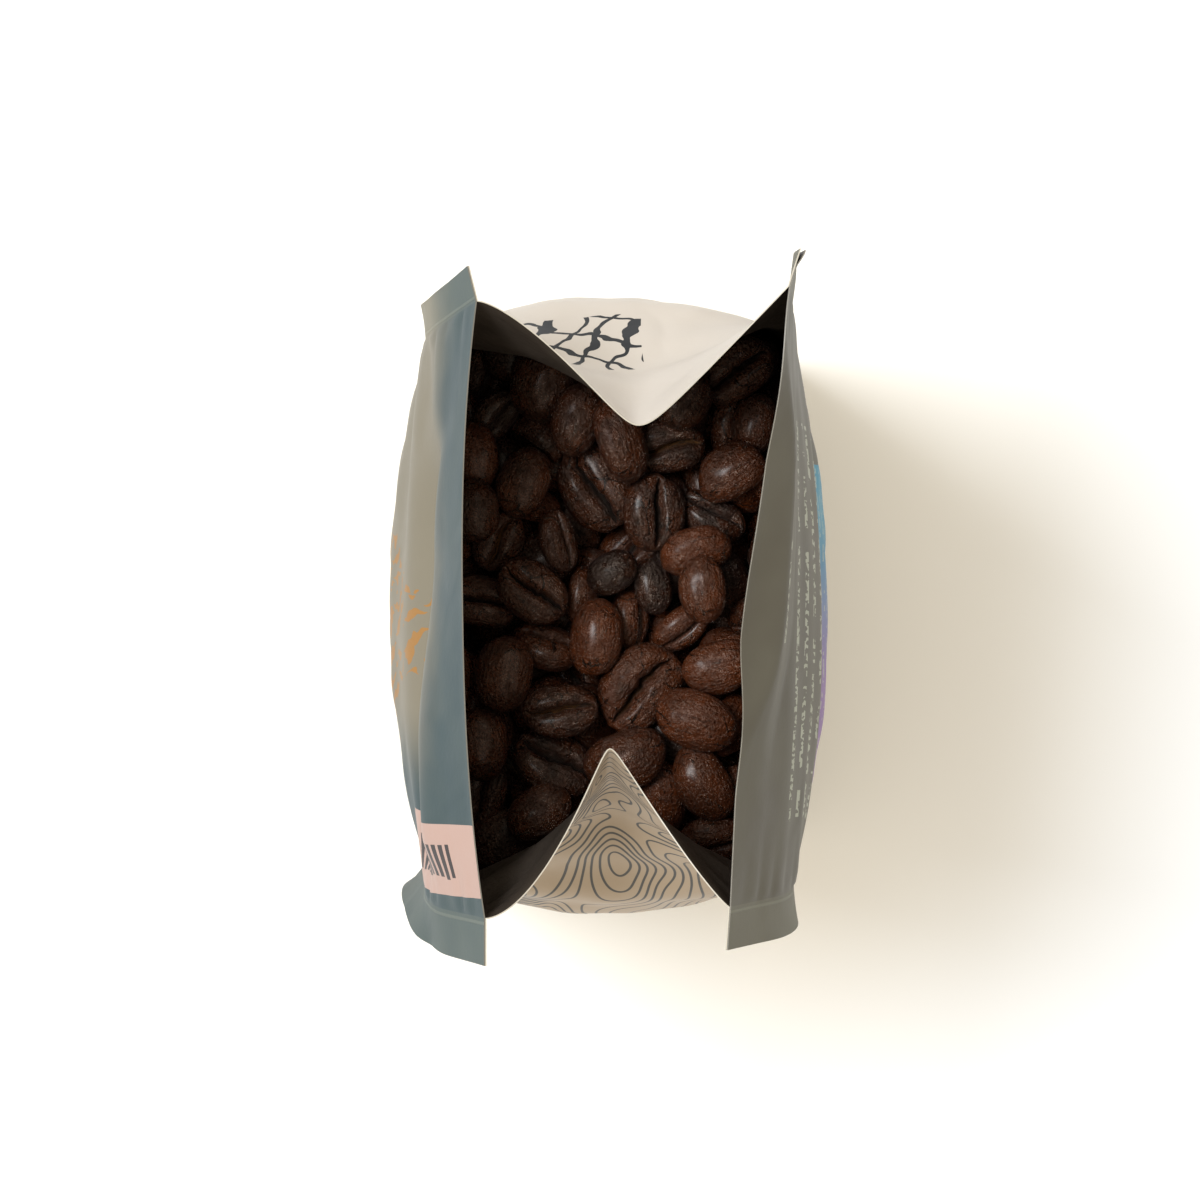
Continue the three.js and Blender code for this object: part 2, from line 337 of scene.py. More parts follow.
class Sheet:
    """A material's node sheet: adds nodes and joins their sockets."""

    def __init__(self, name: str) -> None:
        """Starts a new material with only its output node.

        Args:
            name: The material's name.
        """
        self.material = bpy.data.materials.new(name)
        self.material.use_nodes = True
        self.tree = self.material.node_tree
        self.tree.nodes.clear()

    def node(self, kind: str, settings: dict[str, object], inputs: dict[int | str, object],
             output: int | str = 0) -> Sock:
        """Adds a node.

        Args:
            kind: The node's type.
            settings: Its own properties, set before its sockets; "stops" fills a colour ramp.
            inputs: Values or links by socket name or number.
            output: Which output to return.

        Returns:
            The chosen output.
        """
        made = self.tree.nodes.new(kind)
        for key, value in settings.items():
            if key == "stops":
                self._fill_ramp(made.color_ramp, value)
            else:
                setattr(made, key, value)
        for key, value in inputs.items():
            socket = made.inputs[key]
            if isinstance(value, Sock):
                self.tree.links.new(value.socket, socket)
            elif isinstance(value, tuple) and socket.type == "RGBA":
                socket.default_value = (*value, 1.0)
            else:
                socket.default_value = value
        return Sock(self, made.outputs[output])

    @staticmethod
    def _fill_ramp(ramp: bpy.types.ColorRamp, stops: list[tuple[float, Colour]]) -> None:
        """Sets a colour ramp's stops."""
        while len(ramp.elements) < len(stops):
            ramp.elements.new(1.0)
        for element, (at, colour) in zip(ramp.elements, stops):
            element.position = at
            element.color = (*colour, 1.0)

    def attribute(self, name: str, output: str = "Fac") -> Sock:
        """Reads a per-vertex value of the mesh."""
        return self.node("ShaderNodeAttribute", {"attribute_name": name}, {}, output)

    def parts(self, vector: Sock) -> tuple[Sock, Sock, Sock]:
        """Splits a vector into its three numbers."""
        first = self.node("ShaderNodeSeparateXYZ", {}, {0: vector})
        outs = first.socket.node.outputs
        return first, Sock(self, outs[1]), Sock(self, outs[2])

    def join(self, x: object, y: object, z: object = 0.0) -> Sock:
        """Makes a vector of three numbers."""
        return self.node("ShaderNodeCombineXYZ", {}, {0: x, 1: y, 2: z})

    def noise(self, where: Sock, scale: float, detail: float = 2.0, rough: float = 0.5,
              warp: float = 0.0) -> Sock:
        """A noise texture's value, about 0.5 in the middle.

        Args:
            where: The place it is read at.
            scale: Its fineness.
            detail: How many finer layers it has.
            rough: How strong those are.
            warp: How far it is twisted.

        Returns:
            The noise value.
        """
        return self.node("ShaderNodeTexNoise", {}, {
            "Vector": where, "Scale": scale, "Detail": detail, "Roughness": rough, "Distortion": warp})

    def blend(self, share: Sock | float, a: object, b: object) -> Sock:
        """A colour a share of the way from a to b.

        Args:
            share: 0 for a and 1 for b.
            a: First colour or socket.
            b: Second colour or socket.

        Returns:
            The mixed colour.
        """
        return self.node("ShaderNodeMix", {"data_type": "RGBA"}, {0: share, 6: a, 7: b}, 2)

    def bump(self, height: Sock, depth: float, under: Sock | None = None) -> Sock:
        """A normal tilted by a height.

        Args:
            height: The height, from 0 to 1.
            depth: Metres between height 0 and 1.
            under: A normal to build on.

        Returns:
            The normal.
        """
        inputs = {"Strength": 1.0, "Distance": depth, "Height": height}
        if under is not None:
            inputs["Normal"] = under
        return self.node("ShaderNodeBump", {}, inputs)

    def finish(self, **inputs: object) -> bpy.types.Material:
        """Ends the sheet in a Principled shader.

        Args:
            **inputs: Its sockets, with _ for a space.

        Returns:
            The material.
        """
        named = {key.replace("_", " "): value for key, value in inputs.items()}
        shader = self.node("ShaderNodeBsdfPrincipled", {}, named)
        output = self.tree.nodes.new("ShaderNodeOutputMaterial")
        self.tree.links.new(shader.socket, output.inputs["Surface"])
        return self.material


# ----------------------------------------------------------------------------------- the bag's form


@dataclass(frozen=True)
class BagForm:
    """The film's shape: where its inner face lies at any place on any side.

    Attributes:
        height: Base to cut rim.
        fins: Widths of the corner seals.
        base_radius: Rounding between the walls and the base.
        fold_depth: Depth below the rim where the gussets start to fold in.
        rim_corners: Seal lines at the rim, in corner order.
        rim_folds: Gusset folds at the rim, by side.
        body_corner: Half width and half depth between the seal lines of the filled body.
        body_gusset: How far out a gusset swells.
        settle_x: Share of the way each corner has come from rim to body along X, by depth.
        settle_y: The same along Y, for every corner.
        front_bow: How far the front panel bows out between its seals, by depth.
        back_bow: How far the back panel does.
        rim_arms: How hollow each gusset's two arms are at the rim, by side.
        fold_round: How rounded each gusset's fold is, by side.
        fold_drop: How far the fold hangs below the seals at the rim.
        fold_in: Share of the rim's inward fold that is left, by depth.
        fold_crease: How sharply the gusset is folded, by depth.
        belly: Share of the gusset's swell that is reached, by depth.
        fin_lean: How far each fin leans out of its panel's line in degrees, by depth.
        fin_curl: How much further each fin turns across its width in degrees, by depth.
    """

    height: float
    fins: tuple[float, ...] = (4.9, 6.4, 5.8, 5.3)
    base_radius: float = 3.5
    fold_depth: float = 55.0
    rim_corners: tuple[tuple[float, float], ...] = (
        (-40.5, -17.7), (41.7, -16.6), (40.2, 16.0), (-42.5, 23.9))
    rim_folds: tuple[tuple[int, tuple[float, float]], ...] = ((1, (19.2, 0.0)), (3, (-24.1, 4.0)))
    body_corner: tuple[float, float] = (38.0, 25.2)
    body_gusset: float = 44.4
    settle_x: tuple[Keys, ...] = (
        ((0, 0), (10, 0.55), (22, 1.25), (34, 1.3), (50, 1)),
        ((0, 0), (22, 0.15), (45, 1)),
        ((0, 0), (22, 0.25), (45, 1)),
        ((0, 0), (22, 0.3), (45, 1)),
    )
    settle_y: Keys = ((0, 0), (10, 0.42), (20, 0.84), (31, 1.04), (45, 1.0))
    front_bow: Keys = (
        (0, 2.4), (12, 1.5), (24, 0.8), (34, 2.6), (50, 5.8), (90, 6.2), (140, 5.0), (180, 1.2))
    back_bow: Keys = (
        (0, -0.9), (7, 0.6), (20, 1.6), (34, 3.6), (50, 5.6), (90, 6.0), (140, 4.8), (180, 1.2))
    rim_arms: tuple[tuple[int, tuple[float, float]], ...] = ((1, (1.8, 1.15)), (3, (1.0, 1.42)))
    fold_round: tuple[tuple[int, float], ...] = ((1, 0.05), (3, 0.12))
    fold_drop: float = 5.0
    fold_in: Keys = ((0, 1), (10, 0.86), (20, 0.71), (28, 0.58), (36, 0.36), (44, 0.14), (52, 0.03), (60, 0))
    fold_crease: Keys = ((0, 1), (25, 0.9), (36, 0.5), (46, 0.1), (56, 0))
    belly: Keys = ((0, 1), (90, 1), (140, 0.85), (185, 0.2))
    fin_lean: tuple[Keys, ...] = (
        ((0, 14), (12, 4), (28, 2), (45, 10), (90, 20), (185, 40)),
        ((0, 0), (25, -8), (32, 8), (38, 20), (45, 32), (60, 44), (75, 48), (110, 44), (185, 45)),
        ((0, -4), (20, 0), (45, 6), (90, 20), (185, 40)),
        ((0, 18), (8, 6), (45, 4), (90, 14), (185, 40)),
    )
    fin_curl: Keys = ((0, 0), (26, 6), (62, 12), (110, 6), (185, 0))

    def corner(self, number: int, depth: np.ndarray) -> np.ndarray:
        """The seal line of a corner, in plan.

        Args:
            number: The corner.
            depth: Depths below the rim.

        Returns:
            X and Y at each depth.
        """
        rim = np.array(self.rim_corners[number % 4])
        body = np.array(self.body_corner) * self.signs(number)
        share = np.stack([track(self.settle_x[number % 4], depth), track(self.settle_y, depth)], -1)
        return mix(rim, body, share)

    @staticmethod
    def signs(number: int) -> np.ndarray:
        """Which way a corner lies along X and along Y."""
        return np.array([(-1, -1), (1, -1), (1, 1), (-1, 1)][number % 4])

    @staticmethod
    def front_crease(x: np.ndarray, depth: np.ndarray) -> np.ndarray:
        """The front panel's ridge, left by rolling the bag shut, and the hollow under it."""
        below = depth - 3 - 18 * smooth(-38, -8, x)
        reach = np.where(below < 0, 20.0, 6.0)
        ridge = 2.5 * smooth(-8, 20, x) * np.maximum(0, 1 - np.abs(below) / reach)
        hollow = 3.1 * smooth(-32, -6, x) * np.exp(-(((below - 4) / 5) ** 2))
        return (1 - smooth(31, 39, x)) * (ridge - hollow)

    @staticmethod
    def back_crease(x: np.ndarray, depth: np.ndarray) -> np.ndarray:
        """The back panel's crease, close under the rim, and the rim drawn in above it."""
        line = 6.5 * smooth(-44, -14, x) * (1 - smooth(0, 27, x))
        strength = smooth(-42, -20, x) * (1 - smooth(8, 27, x))
        reach = np.where(depth < line, 6.0, 9.0)
        ridge = 1.9 * strength * np.maximum(0, 1 - np.abs(depth - line) / reach)
        return ridge - 1.1 * np.exp(-(((x - 4) / 15) ** 2)) * (1 - smooth(0, 7, depth))

    def fold(self, side: int, u: np.ndarray, depth: np.ndarray) -> np.ndarray:
        """A gusset between its seals: a V with a rounded tip, easing into an outward bow lower down.

        Args:
            side: Which gusset.
            u: Share of the way across it.
            depth: Depths below the rim.

        Returns:
            The share of the way from the seals' line to the fold.
        """
        s = np.abs(2 * u - 1)
        tip = dict(self.fold_round)[int(side)]
        tent = 1 - (np.hypot(s, tip) - tip) / (math.hypot(1, tip) - tip)
        first, second = dict(self.rim_arms)[int(side)]
        arm = mix(np.where(u < 0.5, first, second), 1.0, smooth(0, 30, depth))
        return mix(1 - s**2.2, np.maximum(tent, 0) ** arm, track(self.fold_crease, depth))

    def surface(self, side: int, u: np.ndarray, depth: np.ndarray) -> np.ndarray:
        """Points on a side.

        Args:
            side: Which side.
            u: Share of the way across it, from its own corner to the next.
            depth: Depths below the rim.

        Returns:
            Points in millimetres.
        """
        a = self.corner(side, depth)
        b = self.corner(side + 1, depth)
        x = mix(a[..., 0], b[..., 0], u)
        y = mix(a[..., 1], b[..., 1], u)
        drop = np.zeros_like(x)
        swell = 1 - np.abs(2 * u - 1) ** 2.4
        if side == Side.FRONT:
            y = y - track(self.front_bow, depth) * swell - self.front_crease(x, depth)
        elif side == Side.BACK:
            y = y + track(self.back_bow, depth) * swell + self.back_crease(x, depth)
        else:
            out = 1 if side == Side.RIGHT else -1
            rim = dict(self.rim_folds)[int(side)]
            rise = 1 - np.clip(depth / self.fold_depth, 0, 1)
            bulge = mix(self.body_corner[0], self.body_gusset, track(self.belly, depth))
            shape = self.fold(side, u, depth)
            fold_x = mix(out * bulge, rim[0], track(self.fold_in, depth))
            x = x + (fold_x - (a[..., 0] + b[..., 0]) / 2) * shape
            y = y + (rim[1] * rise - (a[..., 1] + b[..., 1]) / 2) * shape
            drop = self.fold_drop * rise**2 * shape
        return self.draw_in(np.stack([x, y, self.height - depth - drop], -1), depth)

    def draw_in(self, points: np.ndarray, depth: np.ndarray) -> np.ndarray:
        """Draws points towards the upright axis where the wall rounds into the base."""
        below = np.clip(self.base_radius - (self.height - depth), 0, self.base_radius)
        inset = self.base_radius - np.sqrt(self.base_radius**2 - below**2)
        plan = points[..., :2]
        moved = plan * (1 - inset / np.linalg.norm(plan, axis=-1))[..., None]
        return np.concatenate([moved, points[..., 2:]], -1)

    def flange(self, number: int, share: np.ndarray, depth: np.ndarray) -> np.ndarray:
        """Points on the middle plane of a fin.

        Args:
            number: The fin's corner.
            share: Shares of its width from the seal line, one row of increasing values from 0.
            depth: Depths below the rim, one column.

        Returns:
            Points, (depths, shares, 3).
        """
        root = self.surface(number % 4, np.zeros_like(depth), depth)
        lean = track(self.fin_lean[number % 4], depth)
        grow = 0.13 + 0.87 * smooth(self.height - 1, self.height - 13, depth)
        middle = (share[:, 1:] + share[:, :-1]) / 2
        angle = np.radians(lean + track(self.fin_curl, depth) * middle)
        sx, sy = self.signs(number)
        step = np.diff(share)[..., None] * np.stack([sx * np.cos(angle), sy * np.sin(angle), 0 * angle], -1)
        path = np.concatenate([np.zeros((len(depth), 1, 3)), np.cumsum(step, axis=1)], 1)
        return root + path * (self.fins[number % 4] * grow)[..., None]


@dataclass
class FilmBag:
    """The laminate film: four sides welded in pairs along the corner fins, and a folded base.

    Attributes:
        form: The bag's shape.
        film: Thickness of the laminate.
        fineness: Steps across a panel, a gusset and a fin.
        mouth_step: Height of a row near the rim.
        body_step: Height of a row lower down.
        mouth_depth: Depth where the rows get coarser.
        parts: The mesh as far as it is built.
    """

    form: BagForm
    film: float = 0.17
    fineness: tuple[int, int, int] = (112, 92, 12)
    mouth_step: float = 0.75
    body_step: float = 2.6
    mouth_depth: float = 52.0
    parts: MeshParts = field(default_factory=MeshParts)

    def depths(self) -> np.ndarray:
        """Depths of the rows, close together near the rim and round the base."""
        low = self.form.height - self.form.base_radius
        mouth = np.arange(0, self.mouth_depth, self.mouth_step)
        body = np.linspace(self.mouth_depth, low, round((low - self.mouth_depth) / self.body_step))
        turn = low + self.form.base_radius * np.sin(np.linspace(0, math.pi / 2, 7)[1:])
        return np.concatenate([mouth, body, turn])

    def wrinkles(self, side: int, across: np.ndarray, depth: np.ndarray, half: np.ndarray) -> np.ndarray:
        """How far folds, pleats and the beans inside push the film out.

        Args:
            side: Which side.
            across: Distance from the side's middle line.
            depth: Depth below the rim.
            half: Half width of the side.

        Returns:
            The push along the film's normal.
        """
        on_panel = smooth(0, 3, half - np.abs(across))
        from_seal = np.maximum(0, half - np.abs(across))
        pleat = np.abs(Ripples(40 + side, (60, 9))(across, depth)) - 0.4
        fade = 1 - 0.6 * smooth(60, 110, depth)
        pleats = 0.42 * pleat * np.exp(-from_seal / 5) * smooth(1, 6, depth) * fade
        level = Ripples(50 + side, (70, 16))(across, depth)
        soft = 0.34 * level * smooth(4, 20, depth) * (1 - 0.5 * smooth(60, 90, depth))
        beans = 0.16 * Ripples(60 + side, (13, 13), 24)(across, depth) * smooth(34, 50, depth)
        return on_panel * (soft + beans) + smooth(0, 0.8, from_seal) * pleats

    def wall(self, side: Side) -> None:
        """Adds one side with the halves of the two fins it is welded into.

        Args:
            side: Which side.
        """
        form = self.form
        depth = self.depths()[:, None]
        panel, gusset, fin = self.fineness
        steps = panel if side in (Side.FRONT, Side.BACK) else gusset
        u = np.linspace(0, 1, steps + 1)[None, :]
        middle = form.surface(side, u + 0 * depth, depth + 0 * u)
        share = np.linspace(0, 1, fin + 1)[None, :]
        first = form.flange(side, share, depth)[:, :0:-1]
        last = form.flange(side + 1, share, depth)[:, 1:]
        widths = form.fins[side], form.fins[(side + 1) % 4]
        base = np.concatenate([first, middle, last], 1)
        run = np.linalg.norm(np.diff(middle, axis=1), axis=-1)
        arc = np.concatenate([np.zeros((len(depth), 1)), np.cumsum(run, 1)], 1)
        half = arc[:, -1:] / 2
        across = np.concatenate([-half - share[:, :0:-1] * widths[0], arc - half,
                                 half + share[:, 1:] * widths[1]], 1)
        normal = unit(np.cross(np.gradient(base, axis=0), np.gradient(base, axis=1)))
        level = depth + 0 * across
        push = self.wrinkles(side, across, level, half) + 0.01 + self.split(side, across - half, level)
        inner = base + normal * push[..., None]
        outer = inner + normal * self.film
        inner[..., 2] = np.maximum(inner[..., 2], self.film)
        outer[..., 2] = np.maximum(outer[..., 2], 0)
        rows, cols = across.shape
        sheet = np.stack([across, level, np.full_like(level, float(side))], -1).reshape(-1, 3)
        seal = np.clip((np.abs(across) - half) / np.where(across < 0, *widths), -1, 1).ravel()
        faces = grid_faces(rows, cols)
        self.parts.add(outer.reshape(-1, 3), faces, slot=Skin.PRINTED, print=sheet, seal=seal)
        self.parts.add(inner.reshape(-1, 3), faces[:, ::-1], slot=Skin.INSIDE, print=sheet, seal=seal)
        self.close_edges(outer, inner, sheet.reshape(rows, cols, 3), seal.reshape(rows, cols))

    @staticmethod
    def split(side: Side, past: np.ndarray, depth: np.ndarray) -> np.ndarray:
        """How far the films of the back left fin have come apart at its top, past the back's seal."""
        return 0.5 * smooth(2.5, 5.0, past) * (1 - smooth(2, 14, depth)) * (side == Side.BACK)

    def close_edges(self, outer: np.ndarray, inner: np.ndarray, sheet: np.ndarray, seal: np.ndarray) -> None:
        """Adds the film's cut edges between its two faces.

        Args:
            outer: Outer points, (rows, columns, 3).
            inner: Inner points.
            sheet: Print coordinates of the points.
            seal: Seal values of the points.
        """
        edges = [
            (np.s_[0, :], False),
            (np.s_[-1, :], True),
            (np.s_[:, 0], True),
            (np.s_[:, -1], False),
        ]
        for where, turned in edges:
            points = np.concatenate([outer[where], inner[where]])
            count = len(outer[where])
            faces = grid_faces(2, count)
            self.parts.add(points, faces if turned else faces[:, ::-1], slot=Skin.CUT,
                           print=np.tile(sheet[where], (2, 1)), seal=np.tile(seal[where], 2))

    def base(self) -> None:
        """Adds the base: a closed sheet just inside the walls' turned-in edges, with its folded seam."""
        form = self.form
        ring = []
        for side in Side:
            u = np.linspace(0, 1, 41)[:-1]
            ring.append(form.surface(side, u, np.full_like(u, form.height)))
        outline = np.concatenate(ring)[:, :2]
        share = np.linspace(1.0, 0.0, 22)[:, None, None]
        plan = outline[None] * np.maximum(share, 1e-3)
        x, y = plan[..., 0], plan[..., 1]
        seam = (1 - smooth(5.2, 5.8, np.abs(y))) * (1 - smooth(33, 34, np.abs(x)))
        tuck = 1 - smooth(-0.6, 0.6, np.abs(y) - (np.abs(x) - 12))
        lift = 0.55 - 0.5 * seam - 0.22 * tuck * (1 - seam)
        bottom = np.stack([x, y, lift], -1)
        top = np.stack([x, y, lift + self.film], -1)
        rows, cols = x.shape
        faces = grid_faces(rows, cols, wrap=True)
        sheet = np.stack([x, y + 400, 0 * x], -1).reshape(-1, 3)
        seal = np.full(rows * cols, -1.0)
        self.parts.add(bottom.reshape(-1, 3), faces, slot=Skin.PRINTED, print=sheet, seal=seal)
        self.parts.add(top.reshape(-1, 3), faces[:, ::-1], slot=Skin.INSIDE, print=sheet, seal=seal)
        rim = np.concatenate([bottom[0], top[0]])
        self.parts.add(rim, grid_faces(2, cols, wrap=True)[:, ::-1], slot=Skin.CUT,
                       print=np.tile(sheet[:cols], (2, 1)), seal=np.tile(seal[:cols], 2))

    def build(self) -> bpy.types.Object:
        """Makes the whole film.

        Returns:
            The film's object.
        """
        for side in Side:
            self.wall(side)
        self.base()
        finishes = [PrintedFilm().material(), InsideFilm().material(), CutFilm().material()]
        return self.parts.build("bag_film", finishes)


# ------------------------------------------------------------------------------------ film finishes


@dataclass(frozen=True)
class PrintedFilm:
    """Satin printed laminate: grey panels, cream gussets, and fields and strokes of colour, with painted
    light and shade: each side is tinted for how it faces the light, and the front carries a painted sheen.

    Attributes:
        front: Front panel: the grey film tinted blue, painted cool light from the key.
        back: Back panel: the same grey film made warmer, painted shade with warm bounce light.
        painted_sheen: Painted sheen: warm grey over the front panel below its crease, where it turns away
            and reflects the floor.
        cream: Left gusset: the cream film on the side towards the light.
        shaded_cream: Right gusset: the same cream film darker and warmer, painted shade on the side away
            from the light.
        pink: The field down the front.
        ochre: Brush marks on the front.
        ink: Bars and strokes.
        contour: Level lines on the right gusset.
        pale: Small dashes, seals and wear.
        blue: One end of the field low on the back.
        violet: Its other end.
        roughness: Usual roughness.
    """

    front: Colour = (0.040, 0.064, 0.074)
    back: Colour = (0.088, 0.082, 0.067)
    painted_sheen: Colour = (0.205, 0.185, 0.145)
    cream: Colour = (0.52, 0.485, 0.455)
    shaded_cream: Colour = (0.36, 0.290, 0.218)
    pink: Colour = (0.405, 0.285, 0.255)
    ochre: Colour = (0.30, 0.155, 0.048)
    ink: Colour = (0.028, 0.030, 0.034)
    contour: Colour = (0.060, 0.066, 0.072)
    pale: Colour = (0.34, 0.36, 0.30)
    blue: Colour = (0.05, 0.20, 0.30)
    violet: Colour = (0.20, 0.13, 0.28)
    roughness: float = 0.42

    def material(self) -> bpy.types.Material:
        """Builds the finish.

        Returns:
            The material.
        """
        sheet = Sheet("printed_film")
        place = sheet.attribute("print", "Vector")
        across, down, side = sheet.parts(place)
        seal = sheet.attribute("seal")
        grain = sheet.noise(place, 0.09, 2.0)
        is_front = side < 0.5
        is_right = abs(side - 1) < 0.5
        is_back = abs(side - 2) < 0.5
        is_left = side > 2.5
        on_panel = seal < 0.0
        # Painted light: front and back are one grey film, the front tinted blue for the cool key light, the
        # back warm for the bounce in its shade.
        colour = sheet.blend(is_front, self.back, self.front)
        colour = sheet.blend(grain.ramp(0.3, 0.7) * 0.05, colour, self.pale)
        # Painted sheen: the front panel lightened to warm grey below its crease, standing in for its
        # reflection of the floor.
        colour = sheet.blend(self.painted_sheen_zone(grain, across, down) * is_front, colour, self.painted_sheen)
        colour = sheet.blend(self.leaves(sheet, across, down) * is_front, colour, self.ochre)
        colour = sheet.blend(self.label(across, down) * is_front, colour, self.pink)
        colour = sheet.blend(self.bars(sheet, across, down) * is_front, colour, self.ink)
        field_colour = sheet.blend(across.ramp(14, -14), self.blue, self.violet)
        field_colour = sheet.blend(self.dashes(sheet, across, down, 2.4) * 0.5, field_colour, self.pale)
        colour = sheet.blend(self.field(across, down) * is_back, colour, field_colour)
        colour = sheet.blend(self.rows(sheet, across, down) * is_back * 0.75, colour, self.pale)
        # Painted shade: the gussets are one cream film, the right one darker and warmer because it faces
        # away from the light.
        colour = sheet.blend(is_left * on_panel, colour, self.cream)
        colour = sheet.blend(is_right * on_panel, colour, self.shaded_cream)
        lines = self.contours(sheet, across, down) * is_right * on_panel
        colour = sheet.blend(lines * 0.9, colour, self.contour)
        colour = sheet.blend(self.strokes(sheet, across, down) * is_left * on_panel, colour, self.ink)
        weld = abs(seal - 0.12).ramp(0.05, 0.02)
        colour = sheet.blend((seal > 0.0) * 0.12 + weld * 0.12, colour, self.pale)
        rough = self.roughness + (grain - 0.5) * 0.16 + (seal > 0.0) * 0.08
        crumple = sheet.noise(sheet.join(across, down * 0.6), 0.09, 1.0, 0.4, 0.8)
        bumped = sheet.bump(crumple, 0.0007)
        bumped = sheet.bump(sheet.noise(place, 1.1, 2.0, 0.5), 0.00002, bumped)
        bumped = sheet.bump(weld, 0.00006, bumped)
        return sheet.finish(Base_Color=colour, Roughness=rough, Normal=bumped, IOR=1.45,
                            Specular_IOR_Level=0.07)

    @staticmethod
    def painted_sheen_zone(grain: Sock, across: Sock, down: Sock) -> Sock:
        """Painted sheen: the warm grey zone over the front panel below its crease, where the turning film
        reflects the floor.
        """
        return (down + grain * 8).ramp(12, 28) * across.ramp(26, 12) * 0.9

    @staticmethod
    def label(across: Sock, down: Sock) -> Sock:
        """The pink field down the right of the front panel."""
        return (abs(across - 33.7 + down * 0.04) < 4.9 + down * 0.008) * (down < 34.0)

    @staticmethod
    def bars(sheet: Sheet, across: Sock, down: Sock) -> Sock:
        """Bold dark bars of uneven height along the pink field."""
        beat = down * 0.46
        number = sheet.join(beat.floor(), 3.0)
        rise = sheet.noise(number, 0.83) * 1.6
        sink = sheet.noise(number, 1.31) * 1.6
        middle = 34.0 - down * 0.04
        inside = (across > middle - 3.2 + sink) * (across < middle + 3.0 - rise) * (abs(down - 20.5) < 11.5)
        return (beat.fraction() < 0.62) * inside * 0.94

    @staticmethod
    def leaves(sheet: Sheet, across: Sock, down: Sock) -> Sock:
        """Loose slanted brush marks in rows across the front panel."""
        wander = sheet.noise(sheet.join(across, down), 0.10, 3.0, 0.6)
        line = (down + across * 0.25 + wander * 16) / 9.0
        row = line.floor()
        x = ((across - down * 0.45 + row * 2.3 + wander * 14) / 3.8).fraction()
        leaf = abs(x - 0.5) + abs(line.fraction() - 0.5) * 0.5
        patch = sheet.noise(sheet.join(across * 0.10, row), 3.0)
        reach = abs(across - 2) / 19.0 + abs(down - 62) / 46.0 + wander * 0.5
        return (leaf < 0.27) * (reach < 1.2) * (patch > 0.42) * 0.9

    @staticmethod
    def field(across: Sock, down: Sock) -> Sock:
        """The field of colour low on the back panel."""
        return (abs(across + 3) < 23.0) * (abs(down - 84) < 42.0)

    @staticmethod
    def dashes(sheet: Sheet, across: Sock, down: Sock, pitch: float) -> Sock:
        """Rows of small broken dashes."""
        row = (down / pitch).floor()
        line = abs((down / pitch).fraction() - 0.5) < 0.18
        dash = sheet.noise(sheet.join(across, row * 7.3, down * 0.35), 1.5, 1.0) > 0.50
        word = sheet.noise(sheet.join(across, row * 3.1), 0.30, 0.0) > 0.38
        return line * dash * word

    @classmethod
    def rows(cls, sheet: Sheet, across: Sock, down: Sock) -> Sock:
        """Four rows of small pale dashes on the back panel, and one near its crease."""
        main = (abs(across + 3) < 27.5) * (abs(down - 27.5) < 11.0)
        short = (abs(across - 1) < 7.0) * (abs(down - 8.25) < 2.75)
        return cls.dashes(sheet, across, down, 5.5) * (main + short)

    @staticmethod
    def contours(sheet: Sheet, across: Sock, down: Sock) -> Sock:
        """Thin wandering level lines of even width."""
        step = 0.3

        def height(x: Sock, y: Sock) -> Sock:
            """The land's height at a place, in lines."""
            return sheet.noise(sheet.join(x, y * 0.85), 0.040, 1.5, 0.45, 0.5) * 50.0

        here = height(across, down)
        run = height(across + step, down) - here
        rise = height(across, down + step) - here
        slope = (run * run + rise * rise + 0.0004) ** 0.5 / step
        away = (0.5 - abs(here.fraction() - 0.5)) / slope
        return away.ramp(0.24, 0.13)

    @staticmethod
    def strokes(sheet: Sheet, across: Sock, down: Sock) -> Sock:
        """Loose dark brush strokes in a short band."""
        wander = sheet.noise(sheet.join(across, down), 0.14, 2.0)
        x = ((across + down * 0.4 + wander * 9) / 4.6).fraction()
        y = ((down - across * 0.5 + wander * 8) / 6.2).fraction()
        band = (abs(down - 37.5 + wander * 3) < 7.5) * (abs(across - 4) < 8.6)
        return ((abs(x - 0.5) < 0.10) + (abs(y - 0.5) < 0.07) > 0.5) * band


@dataclass(frozen=True)
class InsideFilm:
    """The laminate's charcoal inner face.

    Attributes:
        colour: Usual colour.
        roughness: Usual roughness.
    """

    colour: Colour = (0.042, 0.033, 0.027)
    roughness: float = 0.46

    def material(self) -> bpy.types.Material:
        """Builds the finish.

        Returns:
            The material.
        """
        sheet = Sheet("inside_film")
        place = sheet.attribute("print", "Vector")
        oil = sheet.noise(place, 0.12, 3.0, 0.6)
        lighter = tuple(c * 1.4 for c in self.colour)
        colour = sheet.blend(oil.ramp(0.3, 0.75), self.colour, lighter)
        bumped = sheet.bump(sheet.noise(place, 0.9, 3.0), 0.00008)
        return sheet.finish(Base_Color=colour, Roughness=self.roughness + (oil - 0.5) * 0.3, Normal=bumped)


@dataclass(frozen=True)
class CutFilm:
    """The laminate's cut edge, pale on the gussets and dark on the panels.

    Attributes:
        colour: The gussets' edge.
    """

    colour: Colour = (0.50, 0.47, 0.41)

    def material(self) -> bpy.types.Material:
        """Builds the finish.

        Returns:
            The material.
        """
        sheet = Sheet("cut_film")
        place = sheet.attribute("print", "Vector")
        worn = sheet.noise(place, 0.7, 2.0)
        side = sheet.parts(place)[2]
        is_gusset = (side * 0.5).fraction() > 0.25
        panel = tuple(c * 0.22 for c in self.colour)
        colour = sheet.blend(is_gusset * 0.8 + worn * 0.15, panel, self.colour)
        return sheet.finish(Base_Color=colour, Roughness=0.45 + (worn - 0.5) * 0.2)


# ------------------------------------------------------------------------------------------- beans


